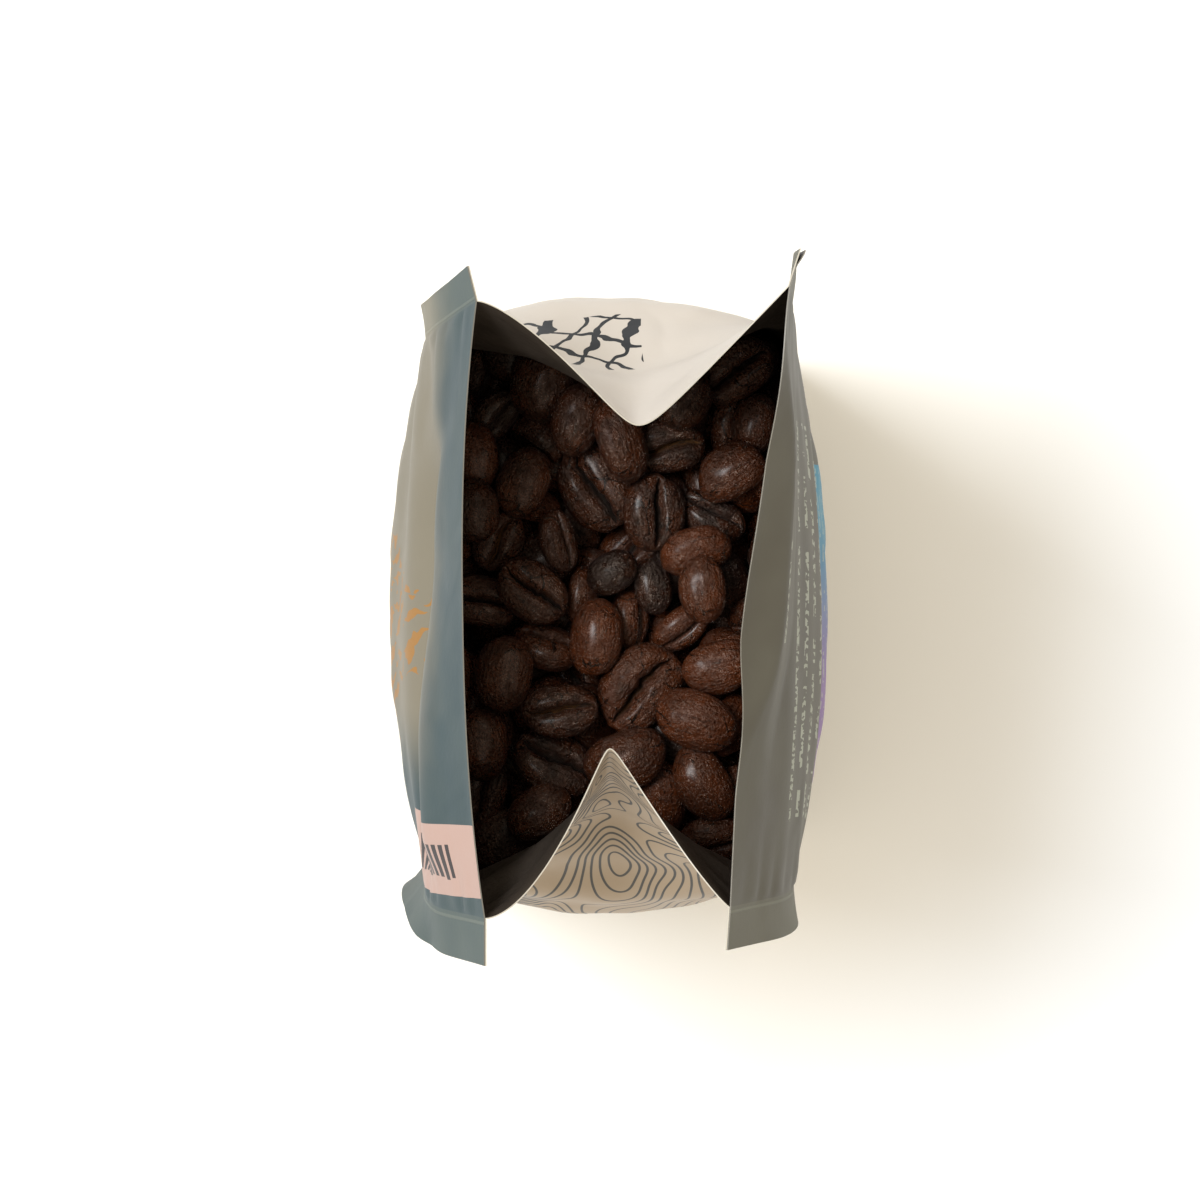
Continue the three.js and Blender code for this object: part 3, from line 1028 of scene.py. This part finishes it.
@dataclass(frozen=True)
class Bean:
    """One roasted bean, lying flat side down along Y, its middle at the origin.

    Attributes:
        kind: How it grew or broke.
        length: End to end.
        width: Across.
        dome: Height of its rounded side above the widest line.
        flat: Depth of its flatter side below that line.
        crease: Depth of the crease, as a share of the thickness.
        tone: Roast, 0 dark to 1 light; on the beans laid on top it also holds painted light.
        chaff: How much golden skin is left in the crease.
        seed: Seed of its lumps and wrinkles.
    """

    kind: BeanKind
    length: float
    width: float
    dome: float
    flat: float
    crease: float
    tone: float
    chaff: float
    seed: int

    @classmethod
    def grow(cls, rng: np.random.Generator, kind: BeanKind, size: float, tone: float) -> "Bean":
        """Draws a bean's sizes.

        Args:
            rng: The source of randomness.
            kind: How it grew or broke.
            size: Usual length.
            tone: Roast, 0 dark to 1 light, with painted light on the beans laid on top.

        Returns:
            The bean.
        """
        length = size * rng.uniform(0.86, 1.06)
        width = length * rng.uniform(0.66, 0.82)
        dome = width * rng.uniform(0.38, 0.46)
        flat = width * rng.uniform(0.20, 0.26)
        if kind is BeanKind.PEABERRY:
            width, dome, flat = length * 0.70, length * 0.33, length * 0.30
        return cls(kind, length, width, dome, flat, rng.uniform(0.34, 0.5), tone,
                   rng.uniform(0.3, 1.0) * (rng.uniform() < 0.3), int(rng.integers(1 << 30)))

    def spheres(self) -> tuple[np.ndarray, np.ndarray]:
        """Balls that fill the bean, for packing.

        Returns:
            Their middles, (10, 3), and their radii, (10,).
        """
        half = self.length / 2
        thick = (self.dome + self.flat) / 2
        middle = (self.dome - self.flat) / 2
        at, size = [], []
        for share in (-0.60, -0.22, 0.22, 0.60):
            ring = (1 - abs(share) ** 2.3) ** 0.5
            radius = thick * ring * 0.97
            for way in (-1, 1):
                at.append((way * max(0, self.width / 2 * ring - radius), share * half, middle * ring))
                size.append(radius)
        for way in (-1, 1):
            radius = thick * 0.52
            at.append((0, way * (half - radius), middle * 0.5))
            size.append(radius)
        return np.array(at), np.array(size)

    def section(self, s: np.ndarray, dome_steps: int, flat_steps: int,
                rng: np.random.Generator) -> tuple[np.ndarray, np.ndarray, np.ndarray]:
        """The bean's cross-section at stations along it, before it narrows towards the ends.

        Args:
            s: Stations, from -1 to 1.
            dome_steps: Steps over its rounded side.
            flat_steps: Steps over its creased side.
            rng: The source of its crease's shape.

        Returns:
            X and Z as shares of the half width and in millimetres, and the depth in the crease, 0 to 1.
        """
        around = np.linspace(0, math.pi, dome_steps + 1)
        dome_x = np.cos(around)[None] + 0 * s[:, None]
        dome_z = self.dome * np.sin(around)[None] ** 0.94 + 0 * s[:, None]
        sway = rng.uniform(0.05, 0.17) * np.sin(s * rng.uniform(2.0, 3.4) + rng.uniform(-0.5, 0.5))
        sway = (sway + 0.034 * Ripples(self.seed, (0.38,))(s))[:, None]
        q = np.linspace(-1, 1, flat_steps + 1)[None, 1:-1]
        q = np.sign(q) * np.abs(q) ** 1.7
        flat_x = sway + q * (1 - np.sign(q) * sway)
        reach = (1 - smooth(0.78, 0.96, np.abs(s)))[:, None]
        gap = rng.uniform(0.036, 0.062) * (1 + 0.5 * np.cos(s * 2.2 + rng.uniform(-1, 1)))[:, None]
        crease = np.exp(-np.abs(q / gap) ** 1.6) * reach
        lobe = 1 - 0.40 * (1 - smooth(0.0, 0.34, np.abs(q))) * reach
        edge = np.maximum(1 - np.abs(flat_x) ** 3.0, 0) ** 0.58
        flat_z = -self.flat * edge * lobe + self.crease * (self.dome + self.flat) * crease
        return (np.concatenate([dome_x, flat_x], 1), np.concatenate([dome_z, flat_z], 1),
                np.concatenate([0 * dome_z, crease**0.6], 1))

    def surface(self, rings: int, dome_steps: int,
                flat_steps: int) -> tuple[np.ndarray, list[np.ndarray], np.ndarray]:
        """The bean's skin.

        Args:
            rings: Steps along its length.
            dome_steps: Steps over its rounded side.
            flat_steps: Steps over its creased side.

        Returns:
            Points, quads and triangles, and how deep in the crease each point lies, 0 to 1.
        """
        rng = np.random.default_rng(self.seed)
        end = rng.uniform(-0.15, 0.35) if self.kind is BeanKind.BROKEN else 1.0
        t = np.linspace(0, 1, rings + 1)[1:-1]
        s = np.sin((t - 0.5) * math.pi)
        past = np.maximum(0, s - end) / max(1e-6, 1 - end)
        s = np.minimum(s, end)
        x, z, crease = self.section(s, dome_steps, flat_steps, rng)
        ring = ((1 - np.abs(s) ** 2.35) ** 0.5 * (1 - past))[:, None]
        bend = rng.uniform(-0.05, 0.05) * self.length
        points = np.stack([x * self.width / 2 * ring + bend * (s**2)[:, None],
                           (s * self.length / 2)[:, None] + 0 * x, z * ring**0.85], -1)
        rows, cols = x.shape
        ends = np.array([[bend, -self.length / 2, 0], [bend * end**2, end * self.length / 2, 0]])
        skin = np.concatenate([points.reshape(-1, 3), ends])
        lump = Ripples(self.seed, (9, 12, 7))(*skin.T)
        vein = Ripples(self.seed + 1, (1.7, 5.0, 2.0), 20)(*skin.T)
        skin = skin * (1 + 0.036 * lump + 0.015 * vein)[:, None]
        broken = np.concatenate([(past > 0).repeat(cols), [False, end < 1]])
        skin[:, 1] += np.where(broken, 0.4 * Ripples(self.seed + 2, (3, 50, 3))(*skin.T), 0)
        i = np.arange(cols)
        n = (i + 1) % cols
        top = (rows - 1) * cols
        low = np.full(cols, rows * cols)
        caps = np.concatenate([np.stack([low, n, i], -1), np.stack([low + 1, top + i, top + n], -1)])
        quads = grid_faces(rows, cols, wrap=True)[:, ::-1]
        return skin, [quads, caps], np.concatenate([crease.ravel(), [0, 0]])


@dataclass(frozen=True)
class Laid:
    """A bean laid on top of the heap at a listed place.

    Attributes:
        x: Place along X.
        y: Place along Y.
        turn: Heading of its length in degrees, from +Y towards -X.
        crease_up: Whether its crease shows.
        tilt: Roll about its length in degrees.
        scale: Size against the usual.
        tone: Roast, 0 dark to 1 light, and painted light: higher towards +Y and on beans with a highlight,
            lower in the front panel's shade.
    """

    x: float
    y: float
    turn: float
    crease_up: bool = False
    tilt: float = 0.0
    scale: float = 1.0
    tone: float = 0.4


def spin(axis: int, degrees: float) -> np.ndarray:
    """A rotation matrix about X, Y or Z."""
    c, s = math.cos(math.radians(degrees)), math.sin(math.radians(degrees))
    turn = np.eye(3)
    i, j = (axis + 1) % 3, (axis + 2) % 3
    turn[i, i], turn[i, j], turn[j, i], turn[j, j] = c, -s, s, c
    return turn


@dataclass
class Heap:
    """Loose beans, packed by gravity and contact inside the film, over a dark core.

    Attributes:
        form: The bag they lie in.
        level: Usual height of the top of the beans.
        bean_length: Usual length of a bean.
        layers: How many layers are laid over the core.
        seed: Seed of the whole heap.
        rounds: Steps of settling.
        sink: How far the beans sink at each step.
        pitch: Spacing of the loose grids.
        layer_height: Height from one grid to the next.
        depth: From the top of the beans to the surface under the lowest.
        held: How readily a listed bean gives way, where 1 is a loose one.
        clearance: Room kept between the beans and the film.
        shown: How far down a bean can show.
        fine: Steps along, over and under a bean that shows.
        coarse: The same for a bean that doesn't.
        laid: The beans laid on top, one by one.
    """

    form: BagForm
    level: float
    bean_length: float = 12.2
    layers: int = 3
    seed: int = 7
    rounds: int = 260
    sink: float = 0.03
    pitch: tuple[float, float] = (10.4, 9.6)
    layer_height: float = 6.6
    depth: float = 20.5
    held: float = 0.25
    clearance: float = 0.6
    shown: float = 11.0
    fine: tuple[int, int, int] = (26, 18, 23)
    coarse: tuple[int, int, int] = (14, 10, 11)
    # Their roasts are partly painted light: lighter towards +Y, where the key light falls, and darker
    # towards -X and -Y, in the front panel's shade.
    laid: tuple[Laid, ...] = (
        Laid(-37.5, -13.6, 20, scale=0.82, tone=0.1),
        Laid(-33.2, -17.2, 65, True, 10, 0.80, 0.3),
        Laid(-31.7, -9.2, 76, scale=0.98, tone=0.35),
        Laid(-26.6, -16.0, 50, True, 22, 0.84, 0.1),
        Laid(-20.8, -19.2, 95, scale=0.85, tone=0.8),
        Laid(-26.2, -4.6, 76, False, 12, 0.84, 0.4),
        Laid(-23.0, 1.2, 106, False, 58, 1.02, 0.5),
        Laid(-17.2, -12.2, 70, scale=0.90, tone=0.45),
        Laid(-16.6, -2.0, 119, True, -14, 1.10, 0.4),
        Laid(-22.4, 8.0, 8, True, 12, 0.84, 0.3),
        Laid(-13.0, 6.6, 86, True, 18, 0.88, 0.35),
        Laid(-13.2, -19.2, 95, scale=0.82, tone=0.3),
        Laid(-9.0, -15.6, 60, True, 16, 0.82, 0.35),
        Laid(-9.0, -6.9, 104, True, 50, 0.84, 0.4),
        Laid(-1.9, -10.8, 140, True, 10, 0.96, 0.4),
        Laid(-0.6, -18.4, 168, True, 12, 0.86, 0.5),
        Laid(-4.6, 0.4, 30, False, 0, 0.72, 0.0),
        Laid(-1.4, -4.2, 80, False, 70, 0.76, 0.6),
        Laid(5.6, -8.8, 162, True, 52, 0.86, 0.6),
        Laid(4.6, -1.8, 84, scale=0.84, tone=0.95),
        Laid(2.2, 3.4, 86, True, 62, 0.78, 0.8),
        Laid(-2.6, 6.2, 100, False, 20, 0.74, 0.1),
        Laid(9.6, -14.9, 80, scale=0.92, tone=0.5),
        Laid(14.9, -6.9, 4, True, -8, 1.02, 0.35),
        Laid(11.4, 4.2, 46, True, 9, 1.06, 0.75),
        Laid(-7.7, 12.0, 14, False, 24, 0.92, 0.95),
        Laid(-12.6, 14.6, 152, True, 34, 0.84, 0.2),
        Laid(-18.8, 17.2, 30, False, 0, 0.92, 0.7),
        Laid(-33.2, 17.8, 34, True, 14, 1.04, 0.4),
        Laid(-28.8, 10.6, 60, scale=0.84, tone=0.25),
        Laid(-25.4, 20.6, 80, scale=0.80, tone=0.5),
        Laid(-2.2, 13.0, 96, scale=0.76, tone=0.8),
        Laid(3.6, 10.2, 35, True, 40, 0.80, 0.9),
        Laid(8.6, 15.4, 12, False, 14, 0.84, 0.95),
        Laid(16.2, 12.0, 160, False, 0, 1.02, 0.9),
        Laid(25.0, 13.2, 118, False, 8, 1.06, 0.8),
        Laid(21.8, 2.4, 20, scale=1.00, tone=0.55),
        Laid(22.2, -7.8, 148, True, 30, 0.98, 0.3),
        Laid(29.0, -9.8, 36, scale=0.90, tone=0.4),
        Laid(19.6, -18.2, 95, scale=0.86, tone=0.45),
        Laid(27.4, -18.0, 70, True, 20, 0.84, 0.3),
        Laid(33.8, 14.6, 8, True, 40, 0.94, 0.7),
        Laid(34.6, -15.0, 20, False, 0, 0.84, 0.2),
    )

    def __post_init__(self) -> None:
        """Starts the heap's randomness."""
        self.rng = np.random.default_rng(self.seed)
        self.push = self.walls(self.clearance)
        self.beans: list[Bean] = []
        self.turns: list[np.ndarray] = []
        self.places: list[np.ndarray] = []
        self.weights: list[float] = []

    def lay(self) -> None:
        """Places every bean before settling: the listed ones on top, the others on loose grids below."""
        for bean in self.laid:
            roll = 180 if bean.crease_up else 0
            self.put(BeanKind.WHOLE, bean.scale, np.array([bean.x, bean.y, self.level - 3.6]),
                     spin(2, bean.turn) @ spin(1, roll + bean.tilt), self.held, bean.tone)
        pitch_x, pitch_y = self.pitch
        for layer in range(self.layers):
            z = self.level - 3.8 - layer * self.layer_height
            for x in np.arange(-40, 41, pitch_x) + 4 * (layer % 2):
                for y in np.arange(-24, 25, pitch_y) + 3 * (layer % 2):
                    place = np.array([x, y, z]) + self.rng.normal(0, 0.9, 3)
                    moved = np.linalg.norm(self.push(place, np.array(3.2)) - place)
                    if moved < 2.0 and not (layer == 0 and self.near_laid(place)):
                        self.drop(place)

    def near_laid(self, place: np.ndarray) -> bool:
        """Whether a listed bean already fills this place."""
        reach = self.bean_length * 0.52
        return any(math.hypot(place[0] - b.x, place[1] - b.y) < reach for b in self.laid)

    def drop(self, place: np.ndarray) -> None:
        """Adds one loose bean at a place, turned at random."""
        draw = self.rng.uniform()
        kind = BeanKind.BROKEN if draw < 0.05 else BeanKind.PEABERRY if draw < 0.12 else BeanKind.WHOLE
        roll = self.rng.choice([0, 180]) + self.rng.normal(0, 28)
        turn = spin(2, self.rng.uniform(0, 360)) @ spin(0, self.rng.normal(0, 18)) @ spin(1, roll)
        self.put(kind, self.rng.uniform(0.76, 1.04), place, turn, 1.0, self.rng.uniform())

    def put(self, kind: BeanKind, scale: float, place: np.ndarray, turn: np.ndarray, weight: float,
            tone: float) -> None:
        """Records a bean with its place, rotation, willingness to move and roast, which on the beans laid on
        top also holds painted light.
        """
        self.beans.append(Bean.grow(self.rng, kind, self.bean_length * scale, tone))
        self.places.append(place)
        self.turns.append(turn)
        self.weights.append(weight)

    def walls(self, margin: float) -> Callable[[np.ndarray, np.ndarray], np.ndarray]:
        """Tabulates the film's inside around the beans.

        Args:
            margin: Clearance kept to the film.

        Returns:
            A function that moves ball middles, given radii, clear of the film.
        """
        depths = np.linspace(12, 62, 51)
        u = np.linspace(0, 1, 121)
        xs = np.linspace(-44, 44, 177)
        ys = np.linspace(-32, 32, 129)
        tables = {}
        for side in Side:
            rows = []
            for depth in depths:
                p = self.form.surface(side, u, np.full_like(u, depth))
                along, out, grid = (0, 1, xs) if side in (Side.FRONT, Side.BACK) else (1, 0, ys)
                order = np.argsort(p[:, along])
                rows.append(np.interp(grid, p[order, along], p[order, out]))
            tables[side] = np.array(rows)

        def read(side: Side, along: np.ndarray, z: np.ndarray) -> np.ndarray:
            """The film's place at a height and a distance along a side."""
            grid = xs if side in (Side.FRONT, Side.BACK) else ys
            down = self.form.height - z
            i = np.clip((down - depths[0]) / (depths[1] - depths[0]), 0, len(depths) - 1.001)
            j = np.clip((along - grid[0]) / (grid[1] - grid[0]), 0, len(grid) - 1.001)
            i0, j0 = i.astype(int), j.astype(int)
            table, fi, fj = tables[side], i - i0, j - j0
            near = table[i0, j0] * (1 - fj) + table[i0, j0 + 1] * fj
            far = table[i0 + 1, j0] * (1 - fj) + table[i0 + 1, j0 + 1] * fj
            return near * (1 - fi) + far * fi

        def push(middle: np.ndarray, radius: np.ndarray) -> np.ndarray:
            """Keeps balls inside the film."""
            ball = middle.copy()
            for side in Side:
                out, along = (1, 0) if side in (Side.FRONT, Side.BACK) else (0, 1)
                way = 1 if side in (Side.FRONT, Side.LEFT) else -1
                u, z = ball[..., along], ball[..., 2]
                wall = read(side, u, z)
                slope = read(side, u + 0.5, z) - read(side, u - 0.5, z)
                rise = read(side, u, z + 0.5) - read(side, u, z - 0.5)
                stretch = np.sqrt(1 + slope**2 + rise**2)
                need = np.maximum(0, radius + margin - way * (ball[..., out] - wall) / stretch) / stretch
                ball[..., out] += way * need
                ball[..., along] -= way * need * slope
                ball[..., 2] -= way * need * rise
            return ball

        return push

    def settle(self, floor: float) -> None:
        """Lets the beans sink and push each other apart; the listed ones keep their bearing.

        Args:
            floor: Height of the surface under the lowest layer.
        """
        balls = [bean.spheres() for bean in self.beans]
        offset = np.array([b[0] for b in balls])
        radius = np.array([b[1] for b in balls])
        middle = offset.mean(1)
        arms = offset - middle[:, None]
        turn = np.array(self.turns)
        place = np.array(self.places) + np.einsum("nij,nj->ni", turn, middle)
        start = place.copy()
        weight = np.array(self.weights)
        laid = weight < 1
        pairs = np.zeros((2, 0), int)
        for step in range(self.rounds):
            ball = place[:, None] + np.einsum("nij,nkj->nki", turn, arms)
            ball[..., 2] -= self.sink if step < self.rounds * 0.75 else 0
            if step % 8 == 0:
                gap = np.linalg.norm(place[:, None] - place[None], axis=-1)
                pairs = np.array(np.nonzero(np.triu(gap < self.bean_length * 1.15, 1)))
            i, j = pairs
            apart = ball[i][:, :, None] - ball[j][:, None]
            far = np.linalg.norm(apart, axis=-1)
            over = np.maximum(0, radius[i][:, :, None] + radius[j][:, None] - far)
            shove = apart * (over / np.maximum(far, 1e-6))[..., None]
            share = (weight[i] / (weight[i] + weight[j]))[:, None, None]
            move = np.zeros_like(ball)
            hits = np.zeros(ball.shape[:2])
            np.add.at(move, i, shove.sum(2) * share)
            np.add.at(move, j, -shove.sum(1) * (1 - share))
            np.add.at(hits, i, (over > 0).sum(2))
            np.add.at(hits, j, (over > 0).sum(1))
            ball += move / np.maximum(hits, 1)[..., None] * 2.0
            ball = self.push(ball, radius)
            ball[..., 2] = np.maximum(ball[..., 2], floor + radius)
            place = ball.mean(1)
            place[laid, :2] += (start - place)[laid, :2] * 0.15
            spread = np.einsum("nki,nkj->nij", ball - place[:, None], arms)
            left, _, right = np.linalg.svd(spread)
            flip = np.sign(np.linalg.det(left @ right))
            left[..., 2] *= flip[:, None]
            turn = np.where(laid[:, None, None], turn, left @ right)
        self.places = list(place - np.einsum("nij,nj->ni", turn, middle))
        self.turns = list(turn)

    def clear_film(self, points: np.ndarray) -> tuple[np.ndarray, bool]:
        """Nudges a bean off the film.

        Args:
            points: The bean's skin.

        Returns:
            Its moved skin, and whether it is clear.
        """
        flat = np.zeros(len(points))
        worst = np.zeros(3)
        for _ in range(16):
            off = self.push(points, flat) - points
            worst = off[np.argmax(np.linalg.norm(off, axis=1))]
            points = points + worst
        return points, bool(np.linalg.norm(worst) < 0.5)

    def build(self) -> list[bpy.types.Object]:
        """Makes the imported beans: those that show, those beneath, peaberries and broken ones.

        Returns:
            One object for each kind.
        """
        self.lay()
        self.settle(self.level - self.depth)
        finish = RoastedBean().material()
        groups: dict[str, MeshParts] = {}
        for bean, place, turn in zip(self.beans, self.places, self.turns):
            shows = place[2] > self.level - self.shown
            named = shows or bean.kind is not BeanKind.WHOLE
            name = f"beans_{bean.kind.value}" if named else "beans_beneath"
            steps = self.fine if shows else self.coarse
            points, faces, crease = bean.surface(*steps)
            world, clear = self.clear_film(points @ turn.T + place)
            if clear:
                level = np.ones(len(points))
                groups.setdefault(name, MeshParts()).add(
                    world, *faces, crease=crease, tone=bean.tone * level, chaff=bean.chaff * level,
                    local=points, end=points[:, 1] * 2 / bean.length)
        return [parts.build(name, [finish]) for name, parts in groups.items()]


@dataclass
class HeapCore:
    """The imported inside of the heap, out of sight under the loose beans.

    Attributes:
        form: The bag it fills.
        top: Its height.
        gap: Clearance to the film, before the allowance for its slant.
    """

    form: BagForm
    top: float
    gap: float = 1.0

    def build(self) -> bpy.types.Object:
        """Makes the core, a closed solid with a bumpy top.

        Returns:
            The core's object.
        """
        height = self.form.height
        depths = np.linspace(height - self.top, height - 6, 30)
        depths = np.concatenate([depths, [height - 3.4, height - 2.2]])
        u = np.linspace(0, 1, 33)[:-1]
        across, down = np.meshgrid(u, depths)
        ring = np.concatenate([self.form.surface(side, across, down) for side in Side], 1)
        ring[0, :, 2] = self.top
        plan = ring[..., :2]
        ring[..., :2] = plan * (1 - (self.gap * 1.6) / np.linalg.norm(plan, axis=-1))[..., None]
        shares = np.linspace(0, 1, 20)[:, None, None]
        inward = np.concatenate([shares.repeat(2, -1), np.ones_like(shares)], -1)
        lid = (ring[0][None] * inward)[1:-1]
        lid[..., 2] = self.top + 1.6 * Ripples(3, (9, 9))(lid[..., 0], lid[..., 1])
        under = ring[-1][None] * inward[:0:-1]
        layers = np.concatenate([lid, ring, under[1:]])
        rows, cols = layers.shape[:2]
        points = np.concatenate([layers.reshape(-1, 3), [[0, 0, self.top], [0, 0, layers[-1, 0, 2]]]])
        i = np.arange(cols)
        n = (i + 1) % cols
        start, stop = np.full(cols, rows * cols), (rows - 1) * cols
        fans = np.concatenate([np.stack([i, n, start], -1), np.stack([stop + n, stop + i, start + 1], -1)])
        zero = np.zeros(len(points))
        parts = MeshParts()
        parts.add(points, grid_faces(rows, cols, wrap=True), fans, crease=zero, tone=zero, chaff=zero,
                  local=points, end=zero)
        return parts.build("bean_core", [RoastedBean("core_bean", (0.016, 0.007, 0.005)).material()])


@dataclass(frozen=True)
class RoastedBean:
    """Dark roasted bean skin: brown, veined and cracked, with oil brought to the surface.

    Attributes:
        name: The material's name.
        dark: The darkest roast.
        light: The lightest roast.
        skin: Golden skin left in a crease.
        black: Painted shade in the creases, and the dark of cracks and scorched veins.
    """

    name: str = "roasted_bean"
    dark: Colour = (0.0105, 0.0030, 0.0013)
    light: Colour = (0.105, 0.0250, 0.0064)
    skin: Colour = (0.26, 0.115, 0.035)
    black: Colour = (0.0045, 0.0030, 0.0025)

    def material(self) -> bpy.types.Material:
        """Builds the finish.

        Returns:
            The material.
        """
        sheet = Sheet(self.name)
        local = sheet.attribute("local", "Vector")
        crease = sheet.attribute("crease")
        tone = sheet.attribute("tone")
        chaff = sheet.attribute("chaff")
        end = abs(sheet.attribute("end"))
        here = local + tone * 90.0
        mottle = sheet.noise(here, 0.30, 4.0, 0.6)
        veins = sheet.noise(here * (1.0, 0.32, 1.0), 1.5, 4.0, 0.62, 0.9)
        pits = sheet.noise(here, 2.3, 2.0, 0.6)
        cell = sheet.node("ShaderNodeTexVoronoi", {"feature": "DISTANCE_TO_EDGE"},
                          {"Vector": here + veins * 1.6, "Scale": 0.27})
        below = sheet.parts(local)[2].ramp(-0.6, -1.8)
        where = (end.ramp(0.45, 0.80) + below * 0.8) * mottle.ramp(0.46, 0.53)
        crack = cell.ramp(0.030, 0.008) * where
        # Painted light: the roast value of the beans laid on top also carries their light and shade.
        colour = sheet.blend(tone * 0.75 + (mottle - 0.5) * 1.4, self.dark, self.light)
        colour = sheet.blend(veins.ramp(0.44, 0.32) * 0.55, colour, self.black)
        # Painted shade: the crease darkened towards black, where shade falls in it.
        colour = sheet.blend(crease.ramp(0.20, 0.75) * 0.9, colour, self.black)
        colour = sheet.blend(crack, colour, self.black)
        gold = crease.ramp(0.30, 0.60) * chaff * veins.ramp(0.44, 0.56) * 0.8
        colour = sheet.blend(gold, colour, self.skin)
        oil = mottle.ramp(0.38, 0.62)
        rough = 0.37 - oil * 0.15 + (pits - 0.5) * 0.35 + crease * 0.3
        bumped = sheet.bump(veins, 0.0007)
        bumped = sheet.bump(pits, 0.00032, bumped)
        bumped = sheet.bump(1 - crack, 0.0007, bumped)
        return sheet.finish(Base_Color=colour, Roughness=rough, Normal=bumped, Coat_Weight=oil * 0.32,
                            Coat_Roughness=0.26, IOR=1.50, Specular_IOR_Level=0.62,
                            Specular_Tint=(1.0, 0.82, 0.70))


# ------------------------------------------------------------------------------------------- studio


@dataclass(frozen=True)
class Studio:
    """A pale floor, a soft key light above the front left, and a camera looking straight down.

    Attributes:
        rim: Height of the bag's rim, in metres.
        reach: Camera height above the rim, in metres.
        view: Width of the view at the rim, in metres.
        aim: Where the camera looks, in metres.
        key: Power of the key light, in watts.
        fill: Colour of the room's own light.
        horizon: Brightness of the room near the floor.
        zenith: Brightness of the room overhead.
    """

    rim: float
    reach: float = 0.65
    view: float = 0.160
    aim: tuple[float, float] = (-0.0007, -0.0013)
    key: float = 18.0
    fill: Colour = (1.0, 0.90, 0.73)
    horizon: float = 1.50
    zenith: float = 0.70

    def floor(self) -> None:
        """Lays the floor, with painted light: warmer near the bag, where its shadow falls, and bluer farther
        out.
        """
        size = 3.0
        corners = [(-size, -size, 0), (size, -size, 0), (size, size, 0), (-size, size, 0)]
        mesh = bpy.data.meshes.new("floor")
        mesh.from_pydata(corners, [], [(0, 1, 2, 3)])
        sheet = Sheet("floor_paper")
        place = sheet.node("ShaderNodeTexCoord", {}, {}, "Object")
        away = sheet.node("ShaderNodeVectorMath", {"operation": "LENGTH"}, {0: place}, "Value")
        # Painted light: the floor is warm near the bag to tint its shadow, and bluer farther out to tint the
        # light around it.
        colour = sheet.blend(away.ramp(0.03, 0.14), (0.95, 0.94, 0.92), (0.83, 0.88, 0.98))
        mesh.materials.append(sheet.finish(Base_Color=colour, Roughness=0.85))
        floor = bpy.data.objects.new("floor", mesh)
        bpy.context.scene.collection.objects.link(floor)

    def lamp(self, name: str, place: tuple[float, float, float], size: float, power: float,
             colour: Colour) -> None:
        """Hangs a square soft light aimed at the bag.

        Args:
            name: The light's name.
            place: Where it hangs, in metres.
            size: Its side, in metres.
            power: Its power, in watts.
            colour: Its colour.
        """
        light = bpy.data.lights.new(name, "AREA")
        light.shape = "SQUARE"
        light.size = size
        light.energy = power
        light.color = colour
        lamp = bpy.data.objects.new(name, light)
        lamp.location = place
        ahead = Vector((0, 0, self.rim * 0.7)) - Vector(place)
        lamp.rotation_euler = ahead.to_track_quat("-Z", "Y").to_euler()
        bpy.context.scene.collection.objects.link(lamp)

    def lights(self) -> None:
        """Sets the key light, the fill and the room's own light."""
        self.lamp("key", (-0.20, -0.52, 1.45), 0.45, self.key, (0.95, 0.985, 1.0))
        world = bpy.data.worlds.new("room")
        world.use_nodes = True
        tree = world.node_tree
        place = tree.nodes.new("ShaderNodeTexCoord")
        height = tree.nodes.new("ShaderNodeSeparateXYZ")
        ramp = tree.nodes.new("ShaderNodeValToRGB")
        ramp.color_ramp.elements[0].color = (*(c * self.horizon for c in self.fill), 1.0)
        ramp.color_ramp.elements[1].color = (*(c * self.zenith for c in self.fill), 1.0)
        tree.links.new(place.outputs["Generated"], height.inputs[0])
        tree.links.new(height.outputs["Z"], ramp.inputs[0])
        tree.links.new(ramp.outputs[0], tree.nodes["Background"].inputs[0])
        bpy.context.scene.world = world
        bpy.context.scene.view_settings.view_transform = "Standard"

    def camera(self) -> None:
        """Hangs the camera over the mouth, its top edge towards -X."""
        lens = bpy.data.cameras.new("camera")
        lens.angle = 2 * math.atan(self.view / 2 / self.reach)
        lens.clip_end = 20
        camera = bpy.data.objects.new("camera", lens)
        camera.location = (*self.aim, self.rim + self.reach)
        camera.rotation_euler = (0, 0, math.pi / 2)
        bpy.context.scene.collection.objects.link(camera)
        bpy.context.scene.camera = camera

    def build(self) -> None:
        """Makes the whole studio."""
        self.camera()
        self.floor()
        self.lights()


def place_piece(piece: bpy.types.Object, node: str) -> None:
    """Ties a piece to the frame and reports it.

    Args:
        piece: The new piece.
        node: The CAD node it stands for.
    """
    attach(piece, "root")
    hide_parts(node)
    piece.data.calc_loop_triangles()
    LOG.info("%s stands for %s: %d triangles", piece.name, node, len(piece.data.loop_triangles))


def main() -> None:
    """Builds the bag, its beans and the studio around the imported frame."""
    logging.basicConfig(level=logging.INFO, format="%(name)s: %(message)s")
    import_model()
    film_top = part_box("film_bag")[1].z
    heap_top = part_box("coffee_beans")[1].z
    form = BagForm(height=film_top / MM)
    Studio(rim=film_top).build()
    place_piece(FilmBag(form).build(), "film_bag")
    heap = Heap(form, level=heap_top / MM)
    for piece in heap.build():
        place_piece(piece, "coffee_beans")
    place_piece(HeapCore(form, top=heap.level - heap.depth - 2.0).build(), "coffee_beans")
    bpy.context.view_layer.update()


if __name__ == "__main__":
    main()
